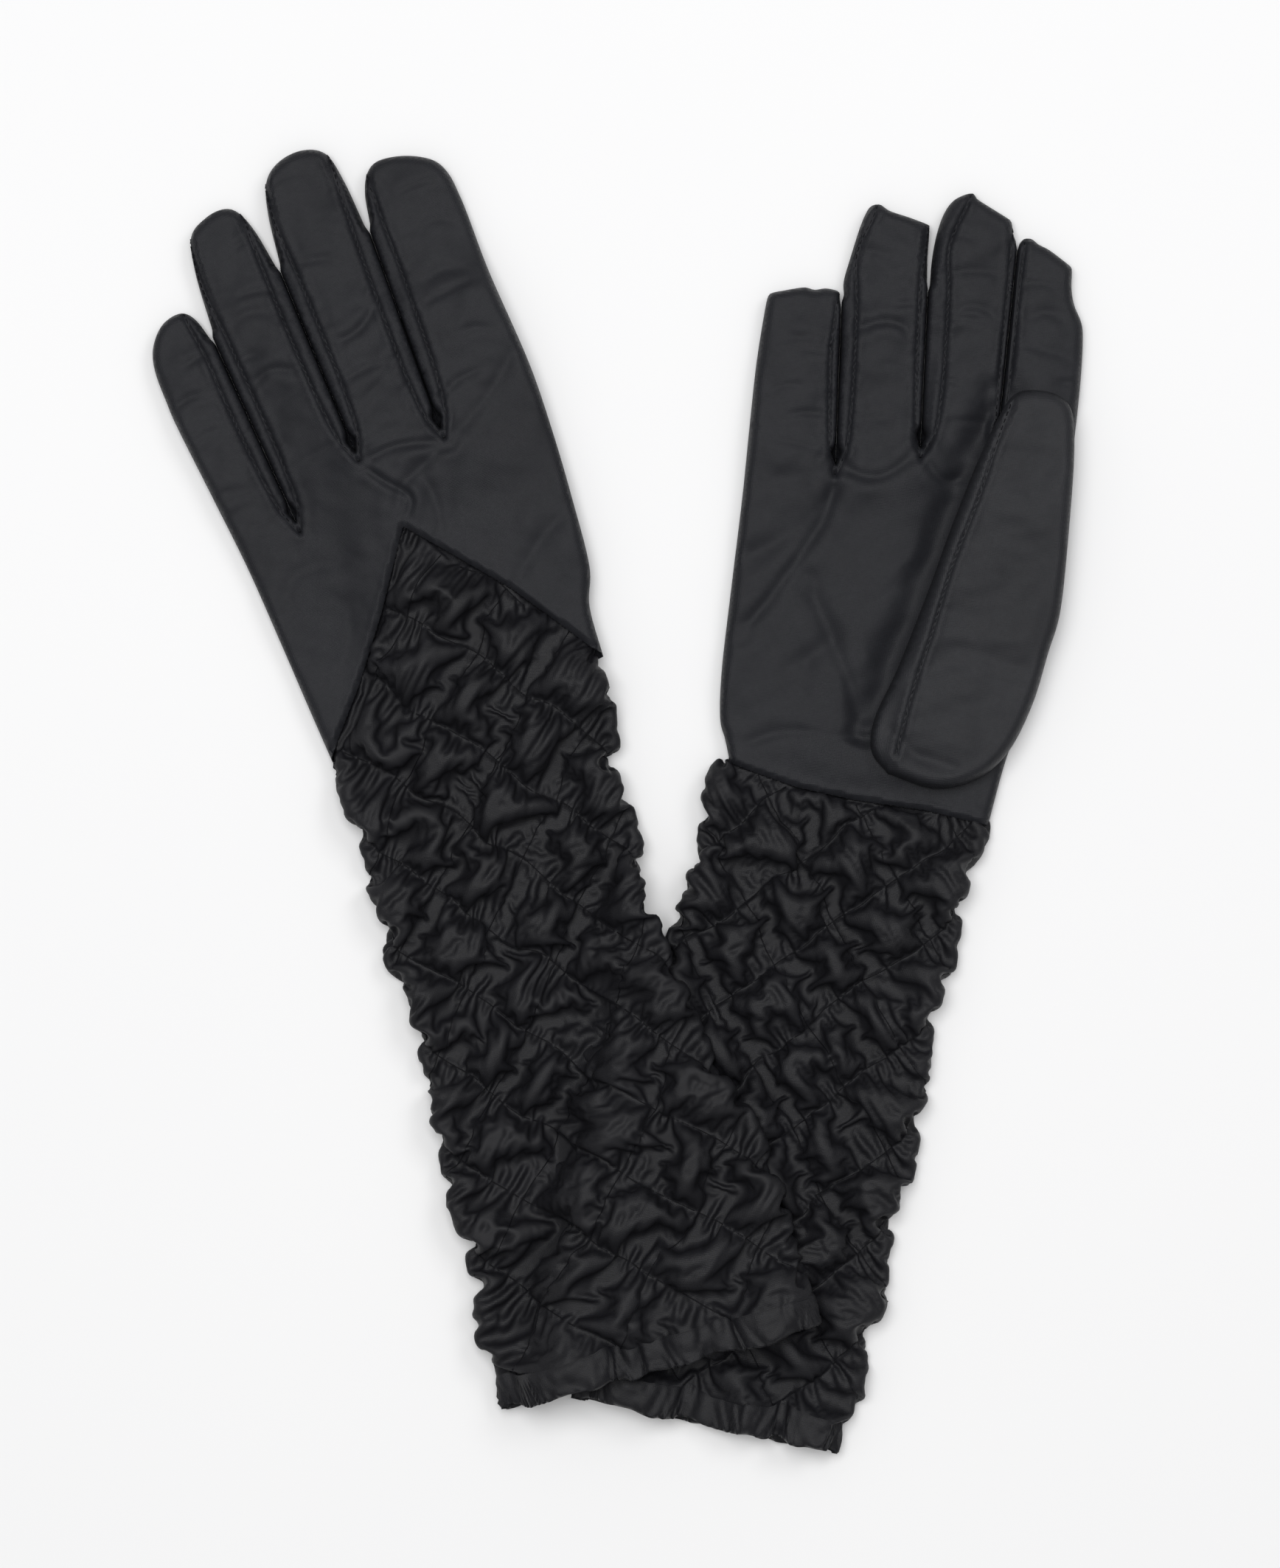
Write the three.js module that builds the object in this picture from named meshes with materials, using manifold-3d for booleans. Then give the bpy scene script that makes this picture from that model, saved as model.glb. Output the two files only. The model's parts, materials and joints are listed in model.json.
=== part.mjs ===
// A pair of opera gloves lying flat, the left glove's sleeve across the right one's.
// Millimetres, +Z up. Each hand and each sleeve has a frame of its own: u runs across the
// glove towards the thumb (x), v runs from the wrist towards the fingertips (y).
import * as THREE from "three";
import { mergeVertices } from "three/addons/utils/BufferGeometryUtils.js";
import { TessellateModifier } from "three/addons/modifiers/TessellateModifier.js";
import Module from "manifold-3d";

const wasm = await Module();
wasm.setup();

// Cloth and clearances
const GAP = 0.3; // between pieces that touch
const WALL_GAP = 1.3; // over and under a side strip, where draped sheets bend beside it
const SHEET = 1.2; // hand and finger cloth
const HAND_HEIGHT = 8; // a hand or finger lying flat, both layers
const SLEEVE_SHEET = 2.2; // shirred cloth with its gathers
const SLEEVE_HEIGHT = 10;
const HEM_LENGTH = 8;
const THUMB_SHEET = 1;
const SLIT_HALF_WIDTH = 0.8; // half of the space between two fingers
const JOINT_GAP = 0.3; // from a fold line to the cloth on either side of it

// Where the hands fold
const WRIST_V = -9;
const STRIP_INSET = SHEET + GAP;

// How one layer rises over what lies under it
const LEFT_THUMB_HEIGHT = 6.2;
const LIFT_OVER_THUMB = LEFT_THUMB_HEIGHT + 4 * GAP;
const LIFT_OVER_SLEEVE = SLEEVE_HEIGHT + 2 * GAP;
const DRAPE_EDGE = 12; // longest triangle edge on a draped piece
const DRAPE_PASSES = 18;

// Colours
const COLOURS = {
  hand: "#303135",
  strip: "#232427",
  sleeve: "#1f1f22",
  thumb: "#3a3b3f",
};

// The V-shaped point of the sleeve cloth on the back of the hand, from its tip to the wrist
const V_HALF_WIDTH = 37;
const V_SHOULDER = 2.5; // where its slanting edges begin

const THUMB_OUTLINE = [
  [-15.7, -19.7],
  [-2.3, -22.6],
  [9.2, -18.5],
  [15.7, -11.9],
  [22.6, 3.1],
  [25, 21],
  [28.9, 31.1],
  [27.6, 57.3],
  [27.4, 75.2],
  [25.1, 87],
  [16.6, 90.3],
  [9.6, 89],
  [6, 83.9],
  [0.8, 69],
  [-4.6, 50.6],
  [-7.9, 34.8],
  [-15, 10.2],
  [-20.8, -4.7],
  [-21.2, -13.1],
];

const LEFT = {
  name: "left",
  at: [-44.2, 29.2],
  handTurn: 22,
  sleeveTurn: 15.5,
  top: "back",
  bottom: "palm",
  outerEdge: [
    [-40.3, WRIST_V],
    [-41.2, 33],
    [-43.6, 76],
    [-45.4, 98],
  ],
  innerEdge: [
    [41.5, WRIST_V],
    [42.9, 8],
    [49.7, 38],
    [52.5, 78],
    [52, 118],
  ],
  vTip: [3, 48.6],
  slits: [
    { name: "little_ring", bottom: [-24.5, 61.4], top: [-26.7, 119.5] },
    { name: "ring_middle", bottom: [-1.6, 73.2], top: [-2.2, 129.5] },
    { name: "middle_index", bottom: [22.9, 70.3], top: [25.1, 133.6] },
  ],
  fingers: [
    { name: "little", fold: 100, shoulder: 119, tip: 127.6, tipLeft: -44, tipRight: -29.2 },
    { name: "ring", fold: 118, shoulder: 142, tip: 150.2, tipLeft: -23.4, tipRight: -7.2 },
    { name: "middle", fold: 118, shoulder: 148, tip: 157.2, tipLeft: 3, tipRight: 22 },
    { name: "index", fold: 118, shoulder: 136, tip: 146.5, tipLeft: 29.6, tipRight: 51.4 },
  ],
  thumb: { base: [22, 13], turn: 15, bottomZ: GAP, height: LEFT_THUMB_HEIGHT, hole: 11 },
  sleeve: {
    outerEdge: [
      [-37, -35],
      [-38.1, -69],
      [-35, -87],
      [-40, -120],
      [-38, -138],
      [-44, -171],
      [-42, -194.2],
    ],
    innerEdge: [
      [37.3, -30],
      [36.4, -47],
      [37.8, -64],
      [35.7, -81],
      [41.3, -113.5],
      [48.9, -152],
      [51, -180],
      [50, -194.2],
    ],
  },
};

const RIGHT = {
  name: "right",
  at: [66.6, 2.5],
  handTurn: -5.5,
  sleeveTurn: -12,
  top: "palm",
  bottom: "back",
  outerEdge: [
    [-38, WRIST_V],
    [-38, 5],
    [-40, 24],
    [-39.2, 78],
    [-38.5, 110],
  ],
  innerEdge: [
    [38, WRIST_V],
    [42, 12],
    [47, 28],
    [51, 52],
    [51.5, 83],
    [52, 120],
  ],
  vTip: [3, 59],
  slits: [
    { name: "little_ring", bottom: [-14, 89.7], top: [-16.4, 136] },
    { name: "ring_middle", bottom: [9.2, 96.7], top: [7.2, 142] },
    { name: "middle_index", bottom: [30.2, 100], top: [30.8, 149] },
  ],
  fingers: [
    {
      name: "little",
      fold: 112,
      shoulder: 134.5,
      tipLeft: -37.3,
      tipRight: -17.2,
      crown: [
        [-17.6, 137.4],
        [-21.5, 138.4],
        [-35.6, 136.4],
      ],
    },
    {
      name: "ring",
      fold: 124,
      shoulder: 156,
      tipLeft: -13.4,
      tipRight: 6,
      crown: [
        [5.4, 158.8],
        [-5.6, 161.7],
        [-8.5, 163.2],
        [-11.6, 161.8],
      ],
    },
    {
      name: "middle",
      fold: 126,
      shoulder: 158,
      tipLeft: 8.6,
      tipRight: 29.2,
      crown: [
        [28.2, 162.3],
        [17.2, 168.6],
        [12, 166.4],
        [9.4, 162],
      ],
    },
    {
      name: "index",
      fold: 120,
      shoulder: 149,
      tipLeft: 32,
      tipRight: 46.8,
      crown: [
        [44.6, 152.2],
        [35, 157.6],
        [32.2, 156],
      ],
    },
  ],
  thumb: { base: [24.3, 24.4], turn: 0, bottomZ: HAND_HEIGHT + GAP, height: 8, hole: 15 },
  sleeve: {
    outerEdge: [
      [-38, -26],
      [-41, -35],
      [-41.7, -52],
      [-43, -110],
      [-41.3, -180.6],
    ],
    innerEdge: [
      [35.6, -18],
      [37, -42],
      [34.2, -69],
      [38.3, -102],
      [34.8, -120],
      [36.6, -153.5],
      [36.3, -180.6],
    ],
  },
};

// ---- small geometry helpers ----

function radians(degrees) {
  return THREE.MathUtils.degToRad(degrees);
}

function turned([x, y], degrees) {
  const c = Math.cos(radians(degrees));
  const s = Math.sin(radians(degrees));
  return [x * c - y * s, x * s + y * c];
}

// From 0 to 1 in a straight line, as value goes from one number to another
function ramp(value, from, to) {
  return THREE.MathUtils.clamp((value - from) / (to - from), 0, 1);
}

// u on the straight line through two points, at a given v
function lineU([u0, v0], [u1, v1], v) {
  return u0 + ((u1 - u0) * (v - v0)) / (v1 - v0);
}

// The shallow arc over a fingertip, from its right corner to its left one
function tipArc(right, left, height, steps = 8, roundness = 0.8) {
  const halfWidth = (right[0] - left[0]) / 2;
  const centre = (right[0] + left[0]) / 2;
  const points = [];
  for (let i = 0; i <= steps; i += 1) {
    const angle = (Math.PI * i) / steps;
    const across = Math.sign(Math.cos(angle)) * Math.abs(Math.cos(angle)) ** roundness;
    points.push([centre + halfWidth * across, right[1] + height * Math.sin(angle) ** roundness]);
  }
  return points;
}

// The closed outline of a band of cloth inside a counter-clockwise path
function bandInside(path, thickness) {
  const inner = path.map((point, i) => {
    const before = path[Math.max(i - 1, 0)];
    const after = path[Math.min(i + 1, path.length - 1)];
    const along = new THREE.Vector2(after[0] - before[0], after[1] - before[1]).normalize();
    const isEnd = i === 0 || i === path.length - 1;
    if (isEnd && Math.abs(along.y) > 0.7) return [point[0] - Math.sign(along.y) * thickness, point[1]];
    return [point[0] - along.y * thickness, point[1] + along.x * thickness];
  });
  return [...path, ...inner.reverse()];
}

function slab(outline, z0, z1, holes = []) {
  const shape = new THREE.Shape(outline.map(([x, y]) => new THREE.Vector2(x, y)));
  shape.holes = holes;
  const geometry = new THREE.ExtrudeGeometry(shape, { depth: z1 - z0, bevelEnabled: false });
  return geometry.translate(0, 0, z0);
}

function roundHole([u, v], radius, sides = 20) {
  const hole = new THREE.Path();
  for (let i = 0; i <= sides; i += 1) {
    const angle = (-2 * Math.PI * i) / sides;
    const x = u + radius * Math.cos(angle);
    const y = v + radius * Math.sin(angle);
    if (i === 0) hole.moveTo(x, y);
    else hole.lineTo(x, y);
  }
  return hole;
}

function positionsOnly(geometry) {
  const bare = new THREE.BufferGeometry();
  bare.setAttribute("position", geometry.getAttribute("position"));
  if (geometry.index) bare.setIndex(geometry.index);
  return mergeVertices(bare, 1e-3);
}

function toSolid(geometry) {
  const merged = positionsOnly(geometry);
  const mesh = new wasm.Mesh({
    numProp: 3,
    vertProperties: merged.attributes.position.array,
    triVerts: new Uint32Array(merged.index.array),
  });
  return new wasm.Manifold(mesh);
}

function join(...geometries) {
  const solid = geometries.map(toSolid).reduce((sum, next) => sum.add(next));
  const mesh = solid.getMesh();
  const joined = new THREE.BufferGeometry();
  joined.setAttribute("position", new THREE.BufferAttribute(mesh.vertProperties, 3));
  joined.setIndex(new THREE.BufferAttribute(mesh.triVerts, 1));
  return joined;
}

// Bends a piece upwards by lift(u, v), after cutting it finely enough to bend
function draped(geometry, lift) {
  const fine = new TessellateModifier(DRAPE_EDGE, DRAPE_PASSES).modify(positionsOnly(geometry));
  const position = fine.getAttribute("position");
  for (let i = 0; i < position.count; i += 1) {
    position.setZ(i, position.getZ(i) + lift(position.getX(i), position.getY(i)));
  }
  return positionsOnly(fine);
}

function piece(name, geometry, colour) {
  const material = new THREE.MeshStandardMaterial({ color: colour, roughness: 0.9, metalness: 0 });
  const shaded = geometry.index ? geometry.toNonIndexed() : geometry;
  shaded.computeVertexNormals();
  const mesh = new THREE.Mesh(shaded, material);
  mesh.name = name;
  return mesh;
}

// ---- how the left glove rises over its own thumb and over the right sleeve ----

const THUMB_RAMP_U = [-20, -4]; // the hand rises between these, beside the thumb
const THUMB_RAMP_TOP = [108, 117.7]; // and comes down again past the thumb's tip
const THUMB_RAMP_BOTTOM = [-36, -14]; // and on the sleeve below the thumb's base
const RIGHT_SLEEVE_EDGE = [
  [38.8, -81.9],
  [-19.2, -194.2],
]; // the right sleeve's outer edge, in the left sleeve's frame
const SLEEVE_RAMP = [-24, -7]; // distance from that edge over which the left sleeve rises

function liftOverThumb(u, v) {
  const beside = ramp(u, ...THUMB_RAMP_U);
  const beyond = 1 - ramp(v, ...THUMB_RAMP_TOP);
  const below = ramp(v, ...THUMB_RAMP_BOTTOM);
  return LIFT_OVER_THUMB * beside * beyond * below;
}

function liftOfLeftSleeve(u, v) {
  const [a, b] = RIGHT_SLEEVE_EDGE;
  const along = new THREE.Vector2(b[0] - a[0], b[1] - a[1]).normalize();
  const distance = -along.y * (u - a[0]) + along.x * (v - a[1]);
  const overSleeve = LIFT_OVER_SLEEVE * ramp(distance, ...SLEEVE_RAMP);
  const overThumb = liftOverThumb(...turned([u, v], LEFT.sleeveTurn - LEFT.handTurn));
  return Math.max(overSleeve, overThumb);
}

// ---- the hand: two panels, the V insert and the forked strips between the fingers ----

function slitCentre(slit, v) {
  return lineU(slit.bottom, slit.top, v);
}

// The edge of a panel round one slit, from the right-hand finger's fold to the left-hand one's
function slitNotch(slit, leftFold, rightFold) {
  const clear = SLIT_HALF_WIDTH + STRIP_INSET;
  const bottomV = slit.bottom[1] - STRIP_INSET;
  return [
    [slitCentre(slit, rightFold) + clear, rightFold],
    [slit.bottom[0] + clear, bottomV],
    [slit.bottom[0] - clear, bottomV],
    [slitCentre(slit, leftFold) - clear, leftFold],
  ];
}

function fourchetteOutline(slit, leftFold, rightFold) {
  const inner = SLIT_HALF_WIDTH;
  const outer = SLIT_HALF_WIDTH + SHEET;
  const [u, v] = slit.bottom;
  return [
    [slitCentre(slit, leftFold) - outer, leftFold],
    [u - outer, v - SHEET],
    [u + outer, v - SHEET],
    [slitCentre(slit, rightFold) + outer, rightFold],
    [slitCentre(slit, rightFold) + inner, rightFold],
    [u + inner, v],
    [u - inner, v],
    [slitCentre(slit, leftFold) - inner, leftFold],
  ];
}

function panelOutline(glove, withNotch) {
  const [little, ring, middle, index] = glove.fingers.map((finger) => finger.fold - JOINT_GAP);
  const [slitLR, slitRM, slitMI] = glove.slits;
  const wrist = WRIST_V + JOINT_GAP;
  const inner = glove.innerEdge.map(([u, v], i) => [u, i === 0 ? wrist : Math.min(v, index)]);
  const outer = glove.outerEdge.map(([u, v], i) => [u, i === 0 ? wrist : v]);
  const fingerEdges = [
    ...slitNotch(slitMI, middle, index),
    ...slitNotch(slitRM, ring, middle),
    ...slitNotch(slitLR, little, ring),
    [outer.at(-1)[0], little],
  ];
  const outline = [...inner, ...fingerEdges, ...outer.reverse()];
  if (!withNotch) return outline;
  const side = V_HALF_WIDTH + GAP;
  const shoulder = V_SHOULDER + GAP;
  const notch = [
    [-side, wrist],
    [-side, shoulder],
    [glove.vTip[0], glove.vTip[1] + GAP],
    [side, shoulder],
    [side, wrist],
  ];
  return [...outline, ...notch];
}

function vInsertOutline(glove) {
  const wrist = WRIST_V + JOINT_GAP;
  return [
    [-V_HALF_WIDTH, wrist],
    [V_HALF_WIDTH, wrist],
    [V_HALF_WIDTH, V_SHOULDER],
    [glove.vTip[0], glove.vTip[1] - GAP],
    [-V_HALF_WIDTH, V_SHOULDER],
  ];
}

function layerZ(layer, height, sheet) {
  return layer === "top" ? [height - sheet, height] : [0, sheet];
}

// A fingertip's wall hangs from the top piece, and overlaps it so that they join
function hangingWall(path, overlap = 0.2) {
  return slab(bandInside(path, SHEET), SHEET + GAP, HAND_HEIGHT - SHEET + overlap);
}

// A side seam or fold is a strip of its own, standing between the two layers
function sideStrip(path, height, sheet) {
  return slab(bandInside(path, sheet), sheet + WALL_GAP, height - sheet - WALL_GAP);
}

function handPieces(glove) {
  const inner = glove.innerEdge.map(([u, v]) => [u, v]);
  inner[0][1] = WRIST_V + JOINT_GAP;
  inner.at(-1)[1] = glove.fingers[3].fold - JOINT_GAP;
  const outer = glove.outerEdge.map(([u, v]) => [u, v]).reverse();
  outer.at(-1)[1] = WRIST_V + JOINT_GAP;
  const hole = roundHole(glove.thumb.base, glove.thumb.hole);
  const made = {};
  for (const layer of ["top", "bottom"]) {
    const side = glove[layer];
    const holes = side === "palm" ? [hole] : [];
    const outline = panelOutline(glove, side === "back");
    made[side + "_panel"] = slab(outline, ...layerZ(layer, HAND_HEIGHT, SHEET), holes);
    if (side === "back") made.v_insert = slab(vInsertOutline(glove), ...layerZ(layer, HAND_HEIGHT, SHEET));
  }
  made.hand_side_fold = sideStrip(inner, HAND_HEIGHT, SHEET);
  made.hand_side_seam = sideStrip(outer, HAND_HEIGHT, SHEET);
  glove.slits.forEach((slit, i) => {
    const leftFold = glove.fingers[i].fold - JOINT_GAP;
    const rightFold = glove.fingers[i + 1].fold - JOINT_GAP;
    made["fourchette_" + slit.name] = slab(fourchetteOutline(slit, leftFold, rightFold), 0, HAND_HEIGHT);
  });
  return made;
}

// ---- a finger beyond its fold: back, palm and one or two side strips ----

function fingerSides(glove, i) {
  const finger = glove.fingers[i];
  const v = finger.fold + JOINT_GAP;
  const leftSlit = glove.slits[i - 1];
  const rightSlit = glove.slits[i];
  return {
    v,
    left: leftSlit ? slitCentre(leftSlit, v) + SLIT_HALF_WIDTH : glove.outerEdge.at(-1)[0],
    right: rightSlit ? slitCentre(rightSlit, v) - SLIT_HALF_WIDTH : glove.innerEdge.at(-1)[0],
    leftStrip: Boolean(leftSlit),
    rightStrip: Boolean(rightSlit),
  };
}

function fingerPieces(glove, i) {
  const { name, shoulder, tip, tipLeft, tipRight, crown } = glove.fingers[i];
  const sides = fingerSides(glove, i);
  const capV = shoulder + GAP;
  const corners = [
    [tipRight, capV],
    [tipLeft, capV],
  ];
  const arc = crown ? [corners[0], ...crown, corners[1]] : tipArc(...corners, tip - capV);
  const rightInset = sides.rightStrip ? STRIP_INSET : 0;
  const leftInset = sides.leftStrip ? STRIP_INSET : 0;
  const rightSide = [[sides.right - rightInset, sides.v]];
  const leftSide = [[sides.left + leftInset, sides.v]];
  if (sides.rightStrip) rightSide.push([tipRight - rightInset, shoulder]);
  if (sides.leftStrip) leftSide.unshift([tipLeft + leftInset, shoulder]);
  const outline = [...rightSide, ...arc, ...leftSide];
  const wallPath = [...arc];
  if (!sides.rightStrip) wallPath.unshift([sides.right, sides.v]);
  if (!sides.leftStrip) wallPath.push([sides.left, sides.v]);
  const top = slab(outline, ...layerZ("top", HAND_HEIGHT, SHEET));
  const made = {};
  made[name + "_" + glove.top] = join(top, hangingWall(wallPath));
  made[name + "_" + glove.bottom] = slab(outline, ...layerZ("bottom", HAND_HEIGHT, SHEET));
  if (sides.leftStrip) {
    const strip = [
      [sides.left, sides.v],
      [sides.left + SHEET, sides.v],
      [tipLeft + SHEET, shoulder],
      [tipLeft, shoulder],
    ];
    made[name + "_strip_outer"] = slab(strip, 0, HAND_HEIGHT);
  }
  if (sides.rightStrip) {
    const strip = [
      [sides.right - SHEET, sides.v],
      [sides.right, sides.v],
      [tipRight, shoulder],
      [tipRight - SHEET, shoulder],
    ];
    made[name + "_strip_inner"] = slab(strip, 0, HAND_HEIGHT);
  }
  return made;
}

// ---- the thumb: an outer tray, and an inner panel with the hole it is sewn round ----

function thumbPieces(glove) {
  const { base, turn, bottomZ, height, hole } = glove.thumb;
  const outline = THUMB_OUTLINE.map((point) => {
    const [u, v] = turned(point, turn);
    return [u + base[0], v + base[1]];
  });
  const ring = bandInside([...outline, outline[0]], THUMB_SHEET);
  const rim = ring.slice(outline.length + 1, -1);
  const hollow = new THREE.Path(rim.map(([x, y]) => new THREE.Vector2(x, y)));
  const opening = roundHole(base, hole);
  const onTop = glove.top === "palm";
  const plateZ = onTop ? [height - THUMB_SHEET, height] : [0, THUMB_SHEET];
  const panelZ = onTop ? [0, THUMB_SHEET] : [height - THUMB_SHEET, height];
  const wallZ = onTop
    ? [THUMB_SHEET + GAP, height - THUMB_SHEET / 2]
    : [THUMB_SHEET / 2, height - THUMB_SHEET - GAP];
  const tray = join(slab(outline, ...plateZ), slab(outline, ...wallZ, [hollow]));
  const panel = slab(outline, ...panelZ, [opening]);
  return {
    thumb_outer: tray.translate(0, 0, bottomZ),
    thumb_inner: panel.translate(0, 0, bottomZ),
  };
}

// ---- the sleeve: two shirred sheets and the turned hem ----

function sleeveEdges(glove) {
  const lean = glove.handTurn - glove.sleeveTurn;
  const top = WRIST_V - JOINT_GAP;
  const topOuter = turned([glove.outerEdge[0][0], top], lean);
  const topInner = turned([glove.innerEdge[0][0], top], lean);
  const outer = [topOuter, ...glove.sleeve.outerEdge];
  const inner = [topInner, ...glove.sleeve.innerEdge];
  const hemTop = glove.sleeve.outerEdge.at(-1)[1] + HEM_LENGTH + GAP;
  return [outer, inner].map((edge) => {
    const end = edge.at(-1);
    const beforeEnd = edge.at(-2);
    return [...edge.slice(0, -1), [lineU(beforeEnd, end, hemTop), hemTop]];
  });
}

function hemRing(glove) {
  const left = glove.sleeve.outerEdge.at(-1)[0];
  const right = glove.sleeve.innerEdge.at(-1)[0];
  const rectangle = (inset) => [
    [left + inset, inset],
    [right - inset, inset],
    [right - inset, SLEEVE_HEIGHT - inset],
    [left + inset, SLEEVE_HEIGHT - inset],
  ];
  const mouth = new THREE.Path(rectangle(SLEEVE_SHEET).map(([x, y]) => new THREE.Vector2(x, y)));
  const ring = slab(rectangle(0), 0, HEM_LENGTH, [mouth]);
  return ring.rotateX(Math.PI / 2).translate(0, glove.sleeve.outerEdge.at(-1)[1] + HEM_LENGTH, 0);
}

function sleevePieces(glove) {
  const [outer, inner] = sleeveEdges(glove);
  const up = [...inner].reverse();
  const outline = [...up, ...outer];
  return {
    ["gauntlet_" + glove.top]: slab(outline, ...layerZ("top", SLEEVE_HEIGHT, SLEEVE_SHEET)),
    ["gauntlet_" + glove.bottom]: slab(outline, ...layerZ("bottom", SLEEVE_HEIGHT, SLEEVE_SHEET)),
    gauntlet_side_fold: sideStrip(up, SLEEVE_HEIGHT, SLEEVE_SHEET),
    gauntlet_side_seam: sideStrip(outer, SLEEVE_HEIGHT, SLEEVE_SHEET),
    hem_band: hemRing(glove),
  };
}

// ---- assembly ----

function addPieces(group, glove, pieces, colourOf, lift) {
  for (const [name, geometry] of Object.entries(pieces)) {
    const shape = lift ? draped(geometry, lift) : geometry;
    group.add(piece(glove.name + "_" + name, shape, colourOf(name)));
  }
}

function handColour(name) {
  if (name === "v_insert") return COLOURS.sleeve;
  return /fourchette|strip|side/.test(name) ? COLOURS.strip : COLOURS.hand;
}

function makeGlove(glove) {
  const isLeft = glove === LEFT;
  const group = new THREE.Group();
  group.position.set(...glove.at, 0);
  const hand = new THREE.Group();
  hand.rotation.z = radians(glove.handTurn);
  const sleeve = new THREE.Group();
  sleeve.rotation.z = radians(glove.sleeveTurn);
  addPieces(sleeve, glove, sleevePieces(glove), () => COLOURS.sleeve, isLeft && liftOfLeftSleeve);
  addPieces(hand, glove, handPieces(glove), handColour, isLeft && liftOverThumb);
  glove.fingers.forEach((finger, i) => addPieces(hand, glove, fingerPieces(glove, i), handColour));
  addPieces(hand, glove, thumbPieces(glove), () => COLOURS.thumb);
  group.add(sleeve, hand);
  return group;
}

const pair = new THREE.Group();
pair.add(makeGlove(LEFT), makeGlove(RIGHT));

// The origin is the middle of the pair's box, on the surface it lies on
const box = new THREE.Box3().setFromObject(pair);
const centre = box.getCenter(new THREE.Vector3());
pair.position.set(-centre.x, -centre.y, -box.min.z);

const gloves = new THREE.Group();
gloves.name = "opera_gloves";
gloves.add(pair);

export default gloves;
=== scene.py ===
# A pair of black opera gloves lying flat: smooth hands with forked finger seams, and shirred
# sleeves gathered on a lattice of elastic threads. The left sleeve lies across the right one.
import json
import math

import bpy
import numpy as np
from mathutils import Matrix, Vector
from mathutils.geometry import delaunay_2d_cdt


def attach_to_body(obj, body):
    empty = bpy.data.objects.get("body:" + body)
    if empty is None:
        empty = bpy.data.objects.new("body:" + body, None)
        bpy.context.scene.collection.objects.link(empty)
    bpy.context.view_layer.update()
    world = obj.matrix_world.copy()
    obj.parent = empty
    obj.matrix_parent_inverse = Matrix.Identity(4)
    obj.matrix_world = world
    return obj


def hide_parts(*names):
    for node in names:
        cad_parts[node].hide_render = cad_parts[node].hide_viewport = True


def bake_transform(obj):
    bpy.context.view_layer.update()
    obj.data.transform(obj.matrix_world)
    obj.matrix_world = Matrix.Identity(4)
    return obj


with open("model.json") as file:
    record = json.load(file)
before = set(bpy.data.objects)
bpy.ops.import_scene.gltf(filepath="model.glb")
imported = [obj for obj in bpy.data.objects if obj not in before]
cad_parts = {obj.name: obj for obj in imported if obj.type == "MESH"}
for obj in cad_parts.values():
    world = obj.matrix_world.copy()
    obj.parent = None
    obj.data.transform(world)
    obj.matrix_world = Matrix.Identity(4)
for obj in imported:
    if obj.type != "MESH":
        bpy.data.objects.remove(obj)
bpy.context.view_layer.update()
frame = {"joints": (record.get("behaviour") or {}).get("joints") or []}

MM = 0.001
RANDOM_SEED = 7

# ---------------------------------------------------------------- frames and driving sizes
# Each hand has a frame of its own in millimetres: u across towards the thumb, v from the wrist
# to the fingertips, z up from the floor. The sleeve's frame shares its origin and leans back.
WRIST_V = -9.0
SLEEVE_LEAN = math.radians(6.5)

# A hand, its fingers and its thumb
HAND_TOP = 7.6          # height of a hand or finger lying flat
HAND_FLOOR = 0.35       # its underside
EDGE_Z = 3.3            # where its two layers meet
EDGE_ROUND = 2.6        # how far in from its edge a finger is rounded
SLIT_ROUND = 0.9        # the same beside a slit, where two fingers press together
RIM_INSETS = (0.3, 0.62)  # how far in from a slit's edge its extra rows of points lie
THUMB_ROUND = 3.0       # how far in from its edge a thumb is rounded
UNDER_THUMB = 8.0       # the right palm's folds stay below the thumb that swings over them
UNDER_THUMB_SOFTNESS = 0.15
SLIT_HALF = 0.15        # half the space between two fingers in the upper layer
SLIT_HALF_BELOW = 0.05  # and in the lower one
CROTCH_OPENING = 1.1    # half the width of the opening where two fingers part
CELL = 0.92             # size of the hand mesh's triangles
GROOVE_SIDE = 0.5       # from a seam to the rows of points on either side of it
FOLD_REACH = 10.0       # how far to either side of its fold a finger bends

# How the left glove lies on other things
LIFT_OVER_THUMB = 4.6   # its hand on its own flattened thumb
LIFT_OVER_SLEEVE = 10.6  # its sleeve on the right one
CROSSING = [(38.8, -81.9), (-19.2, -194.2)]  # the right sleeve's far edge, in the left sleeve's frame

# A sleeve
AROUND = 180            # columns of the sleeve's cloth
DIAMOND = 30            # columns to one diamond of the thread lattice
ROW = 1.0               # mm between its rows
FULLNESS = 1.32         # cut length over gathered length
SLANT = 1.12            # how much longer the cloth is along its tight threads than across them
HEM_SLUMP = 0.12        # the cloth slumps towards the hem: more fullness down the sleeve there
COARSE = 6              # cells of the fine net to one of the coarse net
KNOT = 6                # cells between two knots of the thread and the cloth
SLIDE = 3.0             # mm that the cloth may shift along the tube
SLEEVE_MID_Z = 4.9
SLEEVE_HALF_HEIGHT = 3.1
SLEEVE_FLOOR = 0.35
SLEEVE_SEED = {"left": 3, "right": 4}
HEM_LENGTH = 8.0

# Threads and stitches
STITCH_DEPTH = 1.7      # how far a thread holds the gathered cloth below the tube
STITCH_PITCH = 2.1
STITCH_RADIUS = 0.2
ELASTIC_RADIUS = 0.15
THREAD_SIDES = 5
ELASTIC_RISE = 0.14     # how far an elastic thread's middle lies above the cloth

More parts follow.
